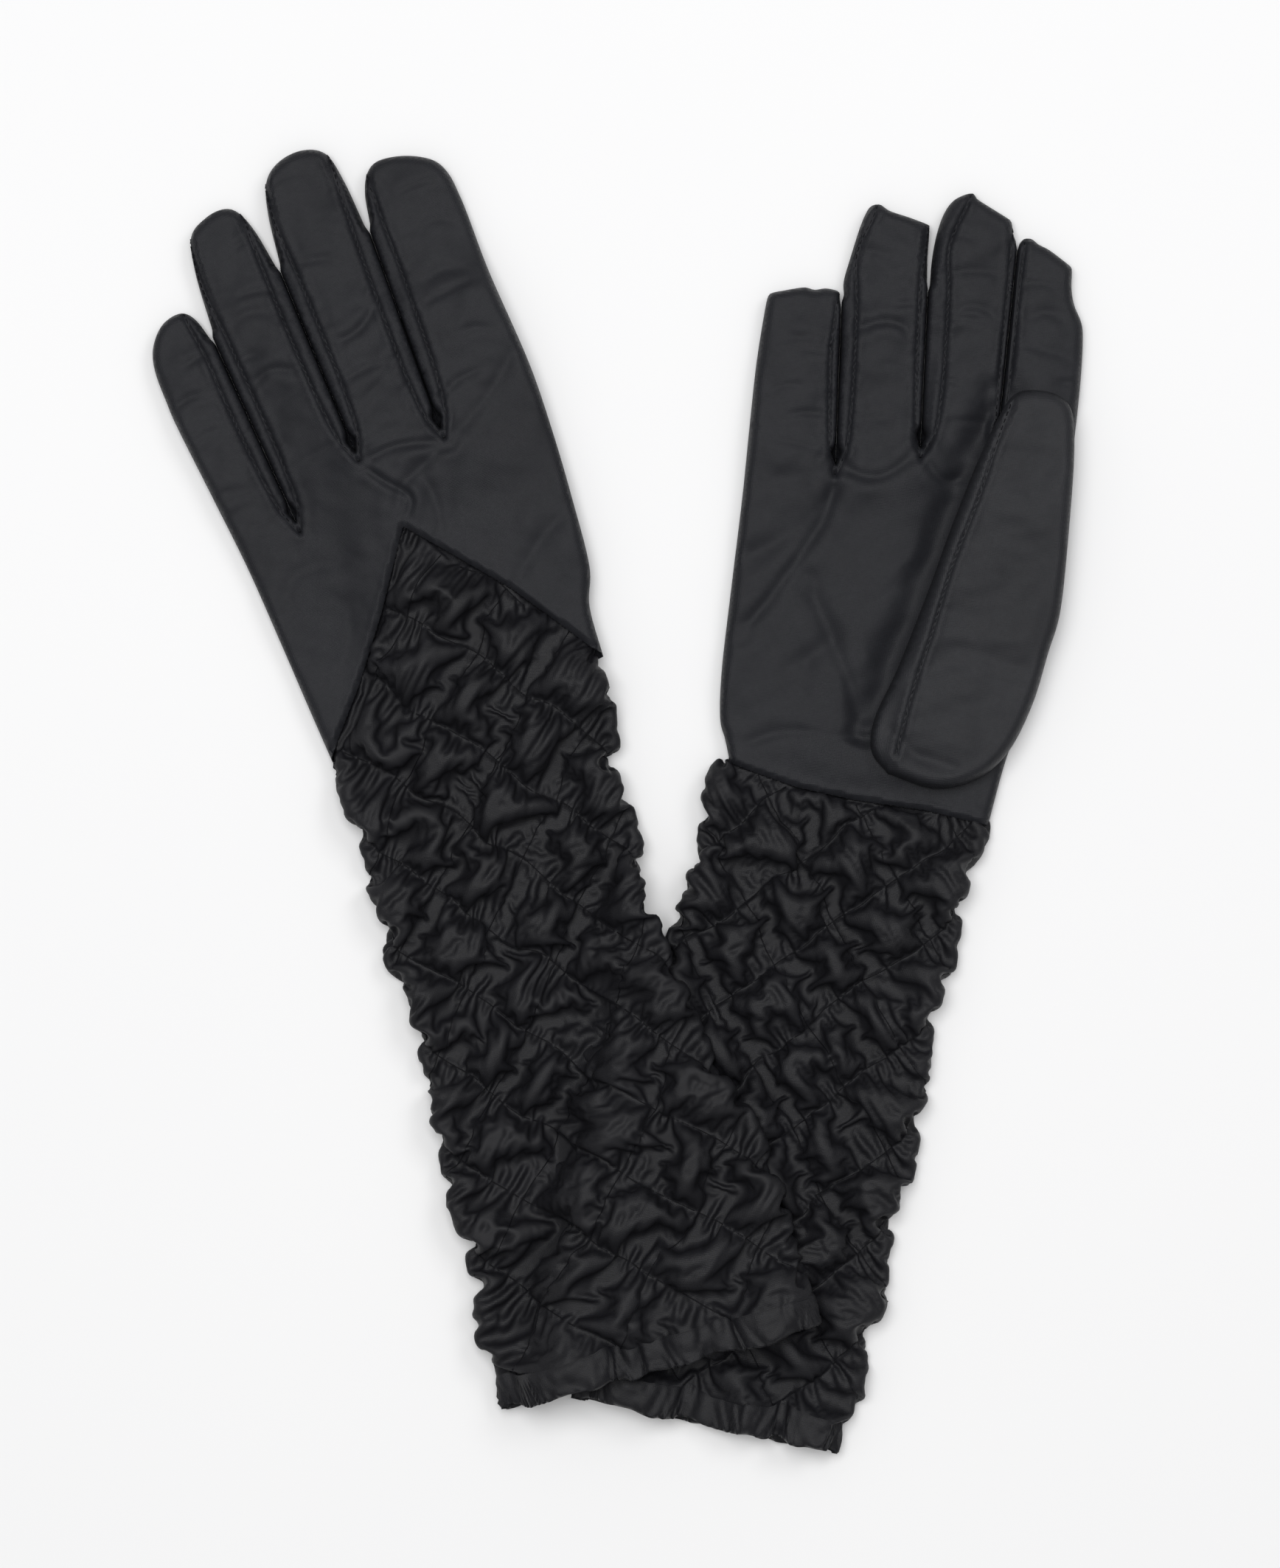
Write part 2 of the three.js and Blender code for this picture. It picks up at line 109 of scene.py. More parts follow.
# Each glove as it lies, in mm. It has the face of the hand that is on top; the hand's outline, from the
# wrist on the thumb's side (inner) round the fingertips and back (outer); the slits between the fingers,
# from crotch to tip; the strips on either side of each slit (distance from it, where its seam ends); where
# each finger's own piece begins (base) and where it folds; the seams to the sleeve; the thumb; the creases
# (path, width, depth); and the two edges of the sleeve, in the sleeve's own frame.
LEFT_GLOVE = {
    "top": "back",
    "inner": [(41.2, -6), (42.9, 8.5), (47.1, 19), (49.7, 38.4), (51.6, 57.5), (52.7, 78), (51.9, 105),
        (52.3, 122)],
    "tips": {
        "index": [(52.3, 128.5), (51.7, 135.7), (49.1, 140.9), (42.5, 144.9), (35, 146.5), (30.8, 144.6),
            (27.9, 139.5), (26.0, 131)],
        "middle": [(24.4, 131), (23.7, 145), (21.8, 153.8), (16, 157.2), (8.7, 156.6), (3.4, 152.6),
            (0.5, 144), (-1.6, 130)],
        "ring": [(-3.0, 130), (-4.6, 140.8), (-7.0, 147.6), (-10.6, 150.2), (-16.2, 149.7), (-21.9, 146.2),
            (-24.6, 136), (-26.1, 120)],
        "little": [(-27.6, 118), (-29.4, 124.4), (-32.6, 127.6), (-38.4, 126.6), (-43.2, 121.8),
            (-45.3, 115.4), (-45.6, 106)],
    },
    "outer": [(-45.4, 97.9), (-43.6, 76.1), (-41.9, 54.4), (-41.2, 33.1), (-40.6, 8.4), (-40.2, -5)],
    "slits": [((-24.5, 61.4), (-26.9, 119)), ((-1.6, 73.2), (-2.3, 130)), ((22.9, 70.3), (25.2, 131))],
    "strips": [((3.8, (-32.3, 127.6)), (3.6, (-22.2, 146.2))), ((4.2, (-6.8, 147.6)), (4.0, (3.1, 152.6))),
        ((4.2, (22, 153.8)), (4.4, (30.5, 144.6)))],
    "base": [76, 88, 88, 86],
    "fold": [100, 118, 118, 118],
    "v_seam": [(-40.2, -5), (-36.7, 0), (-24.9, 12.5), (-11.2, 29.2), (3, 48.6), (12.7, 36.4), (24.6, 21.1),
        (33.4, 7), (41.2, -6)],
    "palm_seam": [(-40.2, -5), (-20, -7), (2, -7.6), (24, -7), (41.2, -6)],
    "thumb": {"base": (22, 13), "turn": 15, "low": 0.35, "high": 3.9},
    "creases": [
        ([(-1.6, 69), (3, 62), (8, 55), (3, 48.6)], 1.5, 0.9),
        ([(-1.6, 69), (9, 70), (22.9, 66)], 2.2, 0.8),
        ([(3, 48.6), (6, 58), (14, 62), (24, 66)], 2.6, 0.6),
        ([(24, 66), (36, 72), (52, 84)], 3.0, 0.5),
        ([(12, 40), (14, 52), (13, 62)], 2.4, 0.5),
        ([(3.5, 103), (12, 104), (21, 110)], 2.0, 0.7),
        ([(3, 84), (12, 88), (21, 94)], 2.4, 0.4),
        ([(-23, 100), (-15, 103), (-7, 99)], 2.0, 0.6),
        ([(-23, 118), (-15, 120), (-7, 117)], 2.6, 0.4),
        ([(32, 108), (40, 111), (50, 106)], 2.6, 0.4),
        ([(-38, 40), (-28, 48), (-14, 44)], 4.0, 0.5),
        ([(24, 20), (36, 30), (48, 36)], 3.6, 0.6),
        ([(-30, 16), (-22, 26), (-20, 38)], 3.6, 0.4),
    ],
    "sleeve_outer": [(-40.5, 0), (-39.2, -17), (-37, -35), (-38, -69), (-36, -87), (-39.5, -120),
        (-38.5, -138), (-43, -170), (-41.6, -194.2)],
    "sleeve_inner": [(42.5, 0), (39.2, -13), (37.3, -30), (36.6, -47), (37.2, -64), (36.5, -81),
        (41.3, -113.5), (48.6, -152), (51, -180), (50, -194.2)],
}
RIGHT_GLOVE = {
    "top": "palm",
    "inner": [(38.2, -7), (41.5, 12), (46, 28), (50.4, 52), (51.4, 83), (52, 105.6)],
    "tips": {
        "index": [(52.1, 119.9), (51.7, 130), (50.9, 135.3), (48.3, 140.4), (47.1, 145), (46.7, 150.2),
            (45.9, 151.3), (40, 155), (36.8, 156.3), (34.6, 157.7), (32.4, 157.4), (31.4, 156)],
        "middle": [(30.3, 156.6), (29.3, 158.8), (28.6, 161.8), (27.6, 162.7), (22, 165.5), (18.4, 167.4),
            (17.2, 168.8), (14.6, 168.1), (11.6, 166), (9.4, 162), (8.0, 156), (7.4, 149), (7.5, 142)],
        "ring": [(6.6, 143), (6.1, 150), (5.9, 157.6), (5.2, 158.9), (0, 160.4), (-5.6, 161.7),
            (-8.5, 163.2), (-10.9, 162.6), (-12.2, 160.5), (-13.6, 156), (-15.3, 148), (-16.6, 141),
            (-16.2, 137)],
        "little": [(-17.2, 135.5), (-17.5, 137.4), (-18.4, 138.1), (-21.5, 138.4), (-24.5, 137.7),
            (-27.5, 138.1), (-33, 136.7), (-36.2, 135.7), (-37.4, 134.2), (-38.1, 127), (-38.7, 117)],
    },
    "outer": [(-38.9, 108.8), (-39, 94.4), (-39.1, 77.7), (-39.7, 53.8), (-40.2, 29.9), (-39.4, 16),
        (-37.4, 10), (-35.4, 3.6)],
    "slits": [((-14.0, 89.7), (-16.7, 135.5)), ((9.2, 96.7), (7.0, 142)), ((30.5, 100), (30.9, 155.5))],
    "strips": [((2.6, (-17.7, 138)), (4.0, (-8.9, 162.9))), ((2.3, (5.0, 158.6)), (5.4, (17.0, 168.5))),
        ((1.5, (28.9, 160.5)), (1.5, (32.8, 157.3)))],
    "base": [98, 108, 110, 106],
    "fold": [112, 124, 126, 120],
    "v_seam": [(-35.4, 3.6), (-33.6, 7), (-24.9, 20), (-11.2, 39), (3, 59), (12.7, 46), (24.6, 28),
        (33.4, 12), (38.2, -7)],
    "palm_seam": [(-35.4, 3.6), (-28, 1.5), (-15.9, -1.5), (0.9, -3.5), (20.1, -4.4), (38.2, -7)],
    "thumb": {"base": (24.3, 24.4), "turn": 0, "low": 8.2, "high": 15.5},
    "creases": [
        ([(-39, 60), (-24, 70), (-10, 86)], 4.0, 0.5),
        ([(-16, 122), (-26, 124), (-37, 121)], 2.4, 0.4),
        ([(-12, 128), (-3, 131), (5, 127)], 2.2, 0.5),
        ([(12, 134), (21, 137), (29, 133)], 2.2, 0.5),
        ([(34, 134), (41, 137), (49, 133)], 2.4, 0.4),
        ([(-34, 8), (-20, 14), (0, 14), (12, 20)], 3.0, 0.6),
        ([(-20, 30), (-8, 44), (8, 60)], 5.0, 0.5),
        ([(-34, 84), (-20, 86), (-2, 93)], 4.0, 0.4),
        ([(30, 112), (22, 92), (16, 70), (10, 48), (5, 30), (2, 16)], 8.0, 2.6),
        ([(-19, 56), (-11, 42), (-4, 28), (0, 16)], 4.0, 0.9),
        ([(-36, 40), (-28, 52), (-16, 74), (-14, 88)], 3.0, 0.9),
        ([(-14, 89), (-2, 87), (9, 95)], 2.4, 0.8),
        ([(9, 95), (16, 88), (24, 90)], 2.4, 0.8),
    ],
    "sleeve_outer": [(-37.9, 4.8), (-40.4, 1), (-40.9, -5), (-39.7, -12), (-38.5, -17), (-39.2, -25.4),
        (-40.6, -35), (-41.7, -52), (-43, -110), (-41.3, -180.6)],
    "sleeve_inner": [(37.6, 0), (39.6, -4), (38.8, -7), (36.4, -10.5), (35.2, -14), (35.8, -19), (37, -42),
        (35.4, -69), (37.6, -102), (35.6, -120), (36.2, -153.5), (36.3, -180.6)],
}
GLOVES = {"left": LEFT_GLOVE, "right": RIGHT_GLOVE}
FINGERS = ["little", "ring", "middle", "index"]

# The thumb's outline about the middle of its base, pointing along v
THUMB_OUTLINE = [(-15.7, -19.7), (-2.3, -22.6), (9.2, -18.9), (17.2, -10.5), (22.6, 3.1), (25.6, 18),
    (27.9, 31.1), (28, 57.3), (27.4, 75.2), (25.6, 86), (21, 90), (14, 90.6), (9, 88.6), (5.4, 82),
    (0.8, 69), (-4.6, 50.6), (-9.4, 32), (-15.6, 10.2), (-20.8, -4.7), (-20.8, -13.8)]
THUMB_SEAM = [(-14, -14), (-11.5, 2), (-7.5, 20), (-3.5, 40), (1.6, 58), (5.4, 74), (9.0, 86)]
THUMB_CREASES = [
    ([(-12, 8), (2, 16), (18, 14)], 3.2, 0.7),
    ([(-2, 46), (10, 50), (24, 46)], 3.4, 0.6),
    ([(4, 70), (14, 73), (25, 70)], 2.6, 0.4),
    ([(-16, -8), (-8, -14), (2, -16)], 2.0, 0.8),
]

# CAD nodes that a piece of cloth stands for, where it isn't just the node of its own name
REPLACED = {"back_panel": ["back_panel", "hand_side_fold"], "palm_panel": ["palm_panel", "hand_side_seam"],
            "gauntlet_back": ["gauntlet_back", "gauntlet_side_fold"],
            "gauntlet_palm": ["gauntlet_palm", "gauntlet_side_seam"]}

# The view, in metres
VIEW_HEIGHT = 0.44008   # of floor that the picture takes in
VIEW_CENTRE = (0.0068, 0.0021)
CAMERA_HEIGHT = 1.6
SENSOR = 36.0           # mm
FLOOR = 4.0             # half the floor's side


def smooth(x, a, b):
    t = np.clip((np.asarray(x, float) - a) / (b - a), 0, 1)
    return t * t * (3 - 2 * t)


def joint(name):
    return next(j for j in frame["joints"] if j["name"] == name)


def hand_axes(side):
    """The hand frame's origin (metres, in plan) and its u and v directions."""
    wrist = joint(side + "_wrist")
    u = np.array(wrist["axis"][:2], float)
    v = np.array([-u[1], u[0]])
    origin = np.array(wrist["pos_m"][:2], float) - v * WRIST_V * MM
    return origin, u, v


def to_world(side, points, sleeve=False):
    """Points (u, v, z) in mm, in the hand's frame or the sleeve's, as metres in the row frame."""
    origin, u, v = hand_axes(side)
    if sleeve:
        c, s = math.cos(-SLEEVE_LEAN), math.sin(-SLEEVE_LEAN)
        u, v = u * c + v * s, v * c - u * s
    points = np.asarray(points, float)
    plan = origin + MM * (points[:, :1] * u + points[:, 1:2] * v)
    return np.column_stack([plan, points[:, 2] * MM])


def sleeve_to_hand(u, v):
    c, s = math.cos(SLEEVE_LEAN), math.sin(SLEEVE_LEAN)
    return u * c + v * s, -u * s + v * c


def slope_noise(u, v, size, seed, octaves=2):
    """Smooth random waves, from -1 to 1, with features about size mm across."""
    rng = np.random.default_rng(RANDOM_SEED * 1000 + seed)
    total = np.zeros(np.shape(u))
    weight = 0.0
    for octave in range(octaves):
        strength = 0.5 ** octave
        for _ in range(7):
            angle = rng.uniform(0, 2 * math.pi)
            k = 2 * math.pi / (size * rng.uniform(0.8, 1.7)) * 2 ** octave
            phase = rng.uniform(0, 2 * math.pi)
            total = total + strength * np.sin(k * (u * math.cos(angle) + v * math.sin(angle)) + phase)
        weight += strength * 7 ** 0.5
    return total / weight


# ---------------------------------------------------------------- plane geometry

def resample(path, step, smoothing=True):
    """Points about step apart along a path, rounded through its corners."""
    points = np.asarray(path, float)
    if smoothing and len(points) > 2:
        padded = np.vstack([2 * points[0] - points[1], points, 2 * points[-1] - points[-2]])
        t = np.linspace(0, 1, 12, endpoint=False)[:, None]
        curve = []
        for a, b, c, d in zip(padded, padded[1:], padded[2:], padded[3:]):
            curve.append(0.5 * (2 * b + (c - a) * t + (2 * a - 5 * b + 4 * c - d) * t ** 2
                                + (3 * b - a - 3 * c + d) * t ** 3))
        points = np.vstack(curve + [points[-1:]])
    lengths = np.concatenate([[0], np.cumsum(np.hypot(*np.diff(points, axis=0).T))])
    count = max(2, int(round(lengths[-1] / step)) + 1)
    at = np.linspace(0, lengths[-1], count)
    return np.column_stack([np.interp(at, lengths, points[:, 0]), np.interp(at, lengths, points[:, 1])])


def nearest_on(paths, points, chunk=1500):
    """For each point, its distance to the nearest of the paths, the nearest place, and where along it is."""
    starts = np.vstack([p[:-1] for p in paths])
    ends = np.vstack([p[1:] for p in paths])
    run = np.concatenate([np.cumsum(np.hypot(*np.diff(p, axis=0).T)) for p in paths])
    along = ends - starts
    length2 = np.maximum((along ** 2).sum(1), 1e-12)
    distance = np.empty(len(points))
    place = np.empty((len(points), 2))
    where = np.empty(len(points))
    for i in range(0, len(points), chunk):
        p = points[i:i + chunk, None, :]
        t = np.clip(((p - starts) * along).sum(2) / length2, 0, 1)
        q = starts + t[..., None] * along
        d2 = ((p - q) ** 2).sum(2)
        k = d2.argmin(1)
        rows = np.arange(len(k))
        distance[i:i + chunk] = np.sqrt(d2[rows, k])
        place[i:i + chunk] = q[rows, k]
        where[i:i + chunk] = run[k]
    return distance, place, where


def inside(polygon, points):
    x, y = points[:, 0], points[:, 1]
    result = np.zeros(len(points), bool)
    for (x0, y0), (x1, y1) in zip(polygon, np.roll(polygon, -1, axis=0)):
        crosses = (y0 > y) != (y1 > y)
        if crosses.any():
            result ^= crosses & (x < (x1 - x0) * (y - y0) / (y1 - y0 + 1e-30) + x0)
    return result


def offset_path(path, distance):
    """The path moved sideways in the plane."""
    way = np.gradient(path, axis=0)
    way /= np.linalg.norm(way, axis=1, keepdims=True)
    return path + distance * np.column_stack([-way[:, 1], way[:, 0]])


def clip_line(line, outline, margin=0.0):
    """The points of the line that lie inside the outline, and at least margin from it."""
    keep = inside(outline, line)
    if margin:
        keep &= nearest_on([np.vstack([outline, outline[:1]])], line)[0] > margin
    return line[keep]


def groove_rows(seams, outline):
    """Rows of points on either side of each seam, for the groove that it pulls into the cloth."""
    return [clip_line(offset_path(seam, way), outline, 0.35) for seam in seams
            for way in (-GROOVE_SIDE, GROOVE_SIDE)]


def rounded_edge(plan, place, distance, radius):
    """The plan drawn in where the cloth turns over its edge, and its rise there, from 0 to 1."""
    t = np.clip(distance / radius, 0, 1)
    rounded = radius * (1 - np.cos(t * math.pi / 2))
    scale = np.where(distance < radius, rounded / np.maximum(distance, 1e-6), 1.0)
    return place + (plan - place) * np.maximum(scale, 0.02)[:, None], np.sin(t * math.pi / 2)


def wrapped_quads(rows, columns):
    """Faces of a grid of points that closes on itself across its columns."""
    index = np.arange(rows * columns).reshape(rows, columns)
    after = np.roll(index, -1, axis=1)
    return np.stack([index[:-1], after[:-1], after[1:], index[1:]], axis=2).reshape(-1, 4)


def triangulate(outline, lines, step, extra):
    """Triangles inside a closed outline, with the lines as edges and extra rows of points beside them."""
    low, high = outline.min(0), outline.max(0)
    rows = np.arange(low[1], high[1], step * 0.866)
    columns = np.arange(low[0], high[0], step)
    grid = np.array([(x + (step / 2 if i % 2 else 0), y) for i, y in enumerate(rows) for x in columns])
    closed = np.vstack([outline, outline[:1]])
    grid = grid[inside(outline, grid)]
    grid = grid[nearest_on([closed] + lines, grid)[0] > 0.85 * step]
    grid = np.vstack([grid, *extra])
    points = list(outline)
    edges = [(i, (i + 1) % len(outline)) for i in range(len(outline))]
    for line in lines:
        first = len(points)
        points.extend(line)
        edges.extend((first + i, first + i + 1) for i in range(len(line) - 1))
    points.extend(grid)
    found = delaunay_2d_cdt([Vector(p) for p in points], edges, [], 0, 1e-4)
    vertices = np.array([tuple(p) for p in found[0]])
    faces = np.array([f for f in found[2]], int)
    middle = vertices[faces].mean(1)
    faces = faces[inside(outline, middle)]
    a, b, c = (vertices[faces[:, k]] for k in range(3))
    area = (b - a)[:, 0] * (c - a)[:, 1] - (b - a)[:, 1] * (c - a)[:, 0]
    faces[area < 0] = faces[area < 0][:, ::-1]
    return vertices, faces[np.abs(area) > 1e-7]


# ---------------------------------------------------------------- Blender helpers

def merged_normals(vertices, faces, tolerance):
    """Vertex normals as if vertices in the same place were one."""
    keys = np.round(vertices / tolerance).astype(np.int64)
    _, index = np.unique(keys, axis=0, return_inverse=True)
    index = index.ravel()
    a, b, c = (vertices[faces[:, k]] for k in range(3))
    face = np.cross(b - a, c - a)
    total = np.zeros((index.max() + 1, 3))
    for k in range(3):
        np.add.at(total, index[faces[:, k]], face)
    total /= np.maximum(np.linalg.norm(total, axis=1, keepdims=True), 1e-20)
    return total[index]


def make_mesh(name, vertices, faces, material, normals=None, uv=None):
    """A new object from metres and faces of three or four corners, all of one size."""
    faces = np.asarray(faces, np.int32)
    used, index = np.unique(faces, return_inverse=True)
    faces = index.reshape(faces.shape).astype(np.int32)
    vertices = np.asarray(vertices, np.float32)[used]
    mesh = bpy.data.meshes.new(name)
    corners = faces.shape[1]
    mesh.vertices.add(len(vertices))
    mesh.vertices.foreach_set("co", vertices.ravel())
    mesh.loops.add(faces.size)
    mesh.loops.foreach_set("vertex_index", faces.ravel())
    mesh.polygons.add(len(faces))
    mesh.polygons.foreach_set("loop_start", np.arange(0, faces.size, corners, dtype=np.int32))
    mesh.polygons.foreach_set("loop_total", np.full(len(faces), corners, np.int32))
    mesh.update(calc_edges=True)
    mesh.polygons.foreach_set("use_smooth", np.ones(len(faces), bool))
    if uv is not None:
        layer = mesh.uv_layers.new(name="UVMap")
        layer.data.foreach_set("uv", np.asarray(uv, np.float32)[used][faces.ravel()].ravel())
    if normals is not None:
        mesh.normals_split_custom_set_from_vertices(np.asarray(normals, float)[used].tolist())
    mesh.materials.append(material)
    obj = bpy.data.objects.new(name, mesh)
    bpy.context.collection.objects.link(obj)
    return obj


# ---------------------------------------------------------------- the hand's plan

def slit_u(glove, k, v):
    (u0, v0), (u1, v1) = glove["slits"][k]
    return u0 + (u1 - u0) * (np.asarray(v, float) - v0) / (v1 - v0)


def slit_half(glove, k, v, opening):
    """Half the width of a slit at v: nearly closed, with a small teardrop opening at its crotch."""
    above = v - glove["slits"][k][0][1]
    return (SLIT_HALF if opening else SLIT_HALF_BELOW) + opening * np.exp(-((above - 3.0) / 1.9) ** 2)


def faces_of(glove):
    """The face of the hand that lies on top, and the one below."""
    return (glove["top"], "palm" if glove["top"] == "back" else "back")


def wrist_seam(glove, face):
    """The line that joins one face of the hand to the sleeve."""
    return resample(glove["v_seam" if face == "back" else "palm_seam"], CELL, smoothing=False)


def hand_outline(glove, seam, opening):
    """The closed outline of one layer of the hand, counter-clockwise from the thumb side of the wrist."""
    tips = [glove["tips"][name] for name in reversed(FINGERS)]
    path = resample(glove["inner"] + tips[0], CELL)
    for k, tip in zip((2, 1, 0), tips[1:]):
        (bottom_u, bottom_v), _ = glove["slits"][k]
        down = np.arange(path[-1][1] - 2, bottom_v + 1, -CELL)
        up = np.arange(bottom_v + 1, tip[0][1] - 2, CELL)
        right = np.column_stack([slit_u(glove, k, down) + slit_half(glove, k, down, opening), down])
        left = np.column_stack([slit_u(glove, k, up) - slit_half(glove, k, up, opening), up])
        ends = glove["outer"] if k == 0 else []
        path = np.vstack([path, right, [(bottom_u, bottom_v)], left, resample(list(tip) + ends, CELL)])
    path[0], path[-1] = seam[-1], seam[0]
    return np.vstack([path, seam[1:-1]])


def seam_paths(glove):
    """The two seams beside each slit, from its crotch to the fingertips on either side."""
    seams = []
    for k, strips in enumerate(glove["strips"]):
        bottom_v = glove["slits"][k][0][1]
        pair = []
        for sign, (offset, end) in zip((-1, 1), strips):
            half_way = (bottom_v + end[1]) / 2
            v = np.array([bottom_v + 3, bottom_v + 9, bottom_v + 22, half_way + 8, end[1] - 15])
            offsets = offset * np.array([0.62, 0.84, 1, 1.05, 1])
            middle = slit_u(glove, k, v) + sign * offsets
            path = [(float(slit_u(glove, k, bottom_v)), bottom_v - 3.6)] + list(zip(middle, v)) + [end]
            pair.append(resample(path, CELL))
        seams.append(pair)
    return seams


def slit_rims(glove, opening, seams):
    """Points just inside both edges of each slit, where the cloth turns over, clear of the seams' own."""
    rims = []
    for k, ((_, bottom_v), (_, top_v)) in enumerate(glove["slits"]):
        v = np.arange(bottom_v + 1, top_v, CELL)
        for sign in (-1, 1):
            for inset in RIM_INSETS:
                u = slit_u(glove, k, v) + sign * (slit_half(glove, k, v, opening) + inset)
                rim = np.column_stack([u, v])
                rims.append(rim[nearest_on(seams, rim)[0] > 0.7])
    return rims


def seam_u(path, v):
    """Where a seam is at v."""
    order = np.argsort(path[:, 1])
    return np.interp(v, path[order, 1], path[order, 0])


def base_lines(glove):
    """A line across each finger, where its own pieces begin."""
    lines = []
    for i, v in enumerate(glove["base"]):
        left = -60 if i == 0 else float(slit_u(glove, i - 1, v)) + SLIT_HALF
        right = 60 if i == 3 else float(slit_u(glove, i, v)) - SLIT_HALF
        lines.append(np.column_stack([np.linspace(left, right, 30), np.full(30, float(v))]))
    return lines


# ---------------------------------------------------------------- the hand's shape

def lift_over_thumb(u, v):
    """How far the left hand is raised by its own thumb below it."""
    beside = smooth(u, -24, 2)
    beyond = 1 - smooth(v, 96, 126)
    below = smooth(v, -44, -6)
    return LIFT_OVER_THUMB * beside * beyond * below


def crease_fold(path, shape, width):
    """How deep points lie in a crease, from 0 to 1, and how far they are from its line."""
    distance, _, _ = nearest_on([resample(path, CELL)], shape)
    return np.exp(-(distance / (0.55 * width)) ** 2), distance


def hand_surface(side, layer, plan, edge, seams, wrist, seed):
    """One layer of the hand: its plan drawn in at the edge, and its height."""
    glove = GLOVES[side]
    distance, place, _ = nearest_on([edge], plan)
    slits = [np.asarray(line, float) for line in glove["slits"]]
    from_slit = nearest_on(slits, place)[0]
    radius = SLIT_ROUND + (EDGE_ROUND - SLIT_ROUND) * smooth(from_slit, 1, 7)
    shape, rise = rounded_edge(plan, place, distance, radius)
    u, v = shape[:, 0], shape[:, 1]
    near = smooth(distance, 0.4, 1.6)
    d, _, along = nearest_on(seams + wrist, shape)
    tips = np.array([fingertip(glove, name) for name in FINGERS], float)
    reach = np.hypot(u[:, None] - tips[:, 0], v[:, None] - tips[:, 1]).min(1)
    slim = 1 - 0.28 * (1 - smooth(reach, 2, 22))
    if layer == "top":
        in_palm = 1 - smooth(v, 40, 95)
        crown = 0.5 * smooth(distance, 2, 10) * (1 - in_palm)
        top = (HAND_TOP - EDGE_Z - 0.9 * in_palm + crown) * slim
        loose = smooth(nearest_on(wrist, shape)[0], 0, 9)
        top = top + loose * (0.7 * slope_noise(u, v, 40, seed) + 0.28 * slope_noise(u, v, 13, seed + 1))
        z = EDGE_Z + top * rise
        for path, width, depth in glove["creases"] + finger_creases(glove, seed):
            fold, away = crease_fold(path, shape, width)
            ends = np.minimum(*(np.hypot(u - p[0], v - p[1]) for p in (path[0], path[-1])))
            fade = smooth(ends, 0, 5) * smooth(distance, 0.5, 3) * (0.3 + 0.7 * loose)
            z += depth * fade * (0.55 * np.exp(-((away - 1.5 * width) / width) ** 2) - fold)
        pucker = 0.5 + 0.5 * np.sin(along * 2.3 + 2 * slope_noise(u, v, 6, seed + 2))
        z -= near * 1.15 * np.exp(-(d / 0.45) ** 2)
        z += near * (0.26 + 0.16 * pucker) * np.exp(-((d - 1.5) / 0.9) ** 2)
        z += near * 0.16 * slope_noise(u, v, 5, seed + 3) * np.exp(-(d / 5.0) ** 2)
        if side == "right":
            softness = UNDER_THUMB_SOFTNESS
            capped = -softness * np.logaddexp(-z / softness, -UNDER_THUMB / softness)
            z += (capped - z) * (1 - smooth(v, 60, 84))
    else:
        z = EDGE_Z - (EDGE_Z - HAND_FLOOR) * rise
        z += near * (0.7 * np.exp(-(d / 0.5) ** 2) + 0.22 * (1 + slope_noise(u, v, 12, seed + 4)))
        for path, width, depth in finger_creases(glove, seed):
            z += near * 1.4 * depth * crease_fold(path, shape, width)[0]
    if side == "left":
        z = z + lift_over_thumb(u, v)
    return np.column_stack([shape, z])


def fingertip(glove, name):
    """The farthest point of a finger."""
    return max(glove["tips"][name], key=lambda p: p[1])


def finger_creases(glove, seed):
    """Slight creases across each finger, where it bends and where the seams pull."""
    rng = np.random.default_rng(RANDOM_SEED + seed)
    creases = []
    for i in range(4):
        low = glove["slits"][min(i, 2)][0][1] + 4
        high = fingertip(glove, FINGERS[i])[1] - 12
        for v in np.linspace(low, high, 5) + rng.uniform(-3, 3, 5):
            left = float(slit_u(glove, i - 1, v)) if i else slit_u(glove, 0, v) - 20
            right = float(slit_u(glove, i, v)) if i < 3 else slit_u(glove, 2, v) + 25
            start, end = (left, right) if rng.random() < 0.5 else (right, left)
            far = start + (end - start) * rng.uniform(0.45, 0.9)
            rise = rng.uniform(-3, 5)
            path = [(start, v), ((start + far) / 2, v + rise * 0.7 + 1), (far, v + rise)]
            creases.append((path, rng.uniform(1.1, 2.4), rng.uniform(0.22, 0.5)))
    return creases


def hand_region(glove, seams, face, middle):
    """The name of the piece that each triangle of one face belongs to, by its middle."""
    u, v = middle[:, 0], middle[:, 1]
    finger = sum((u > slit_u(glove, k, v)).astype(int) for k in range(3))
    beyond = v > np.array(glove["base"], float)[finger]
    names = np.full(len(u), face + "_panel", dtype=object)
    for i, name in enumerate(FINGERS):
        names[(finger == i) & beyond] = name + "_" + face
    for k, (left, right) in enumerate(seams):
        low = glove["slits"][k][0][1] - 3.6
        in_band = (v > low) & (u > seam_u(left, v)) & (u < seam_u(right, v))
        names[in_band & ~beyond] = "fourchette_%s_%s" % (FINGERS[k], FINGERS[k + 1])
        names[in_band & beyond & (finger == k)] = FINGERS[k] + "_strip_inner"
        names[in_band & beyond & (finger == k + 1)] = FINGERS[k + 1] + "_strip_outer"
    return names


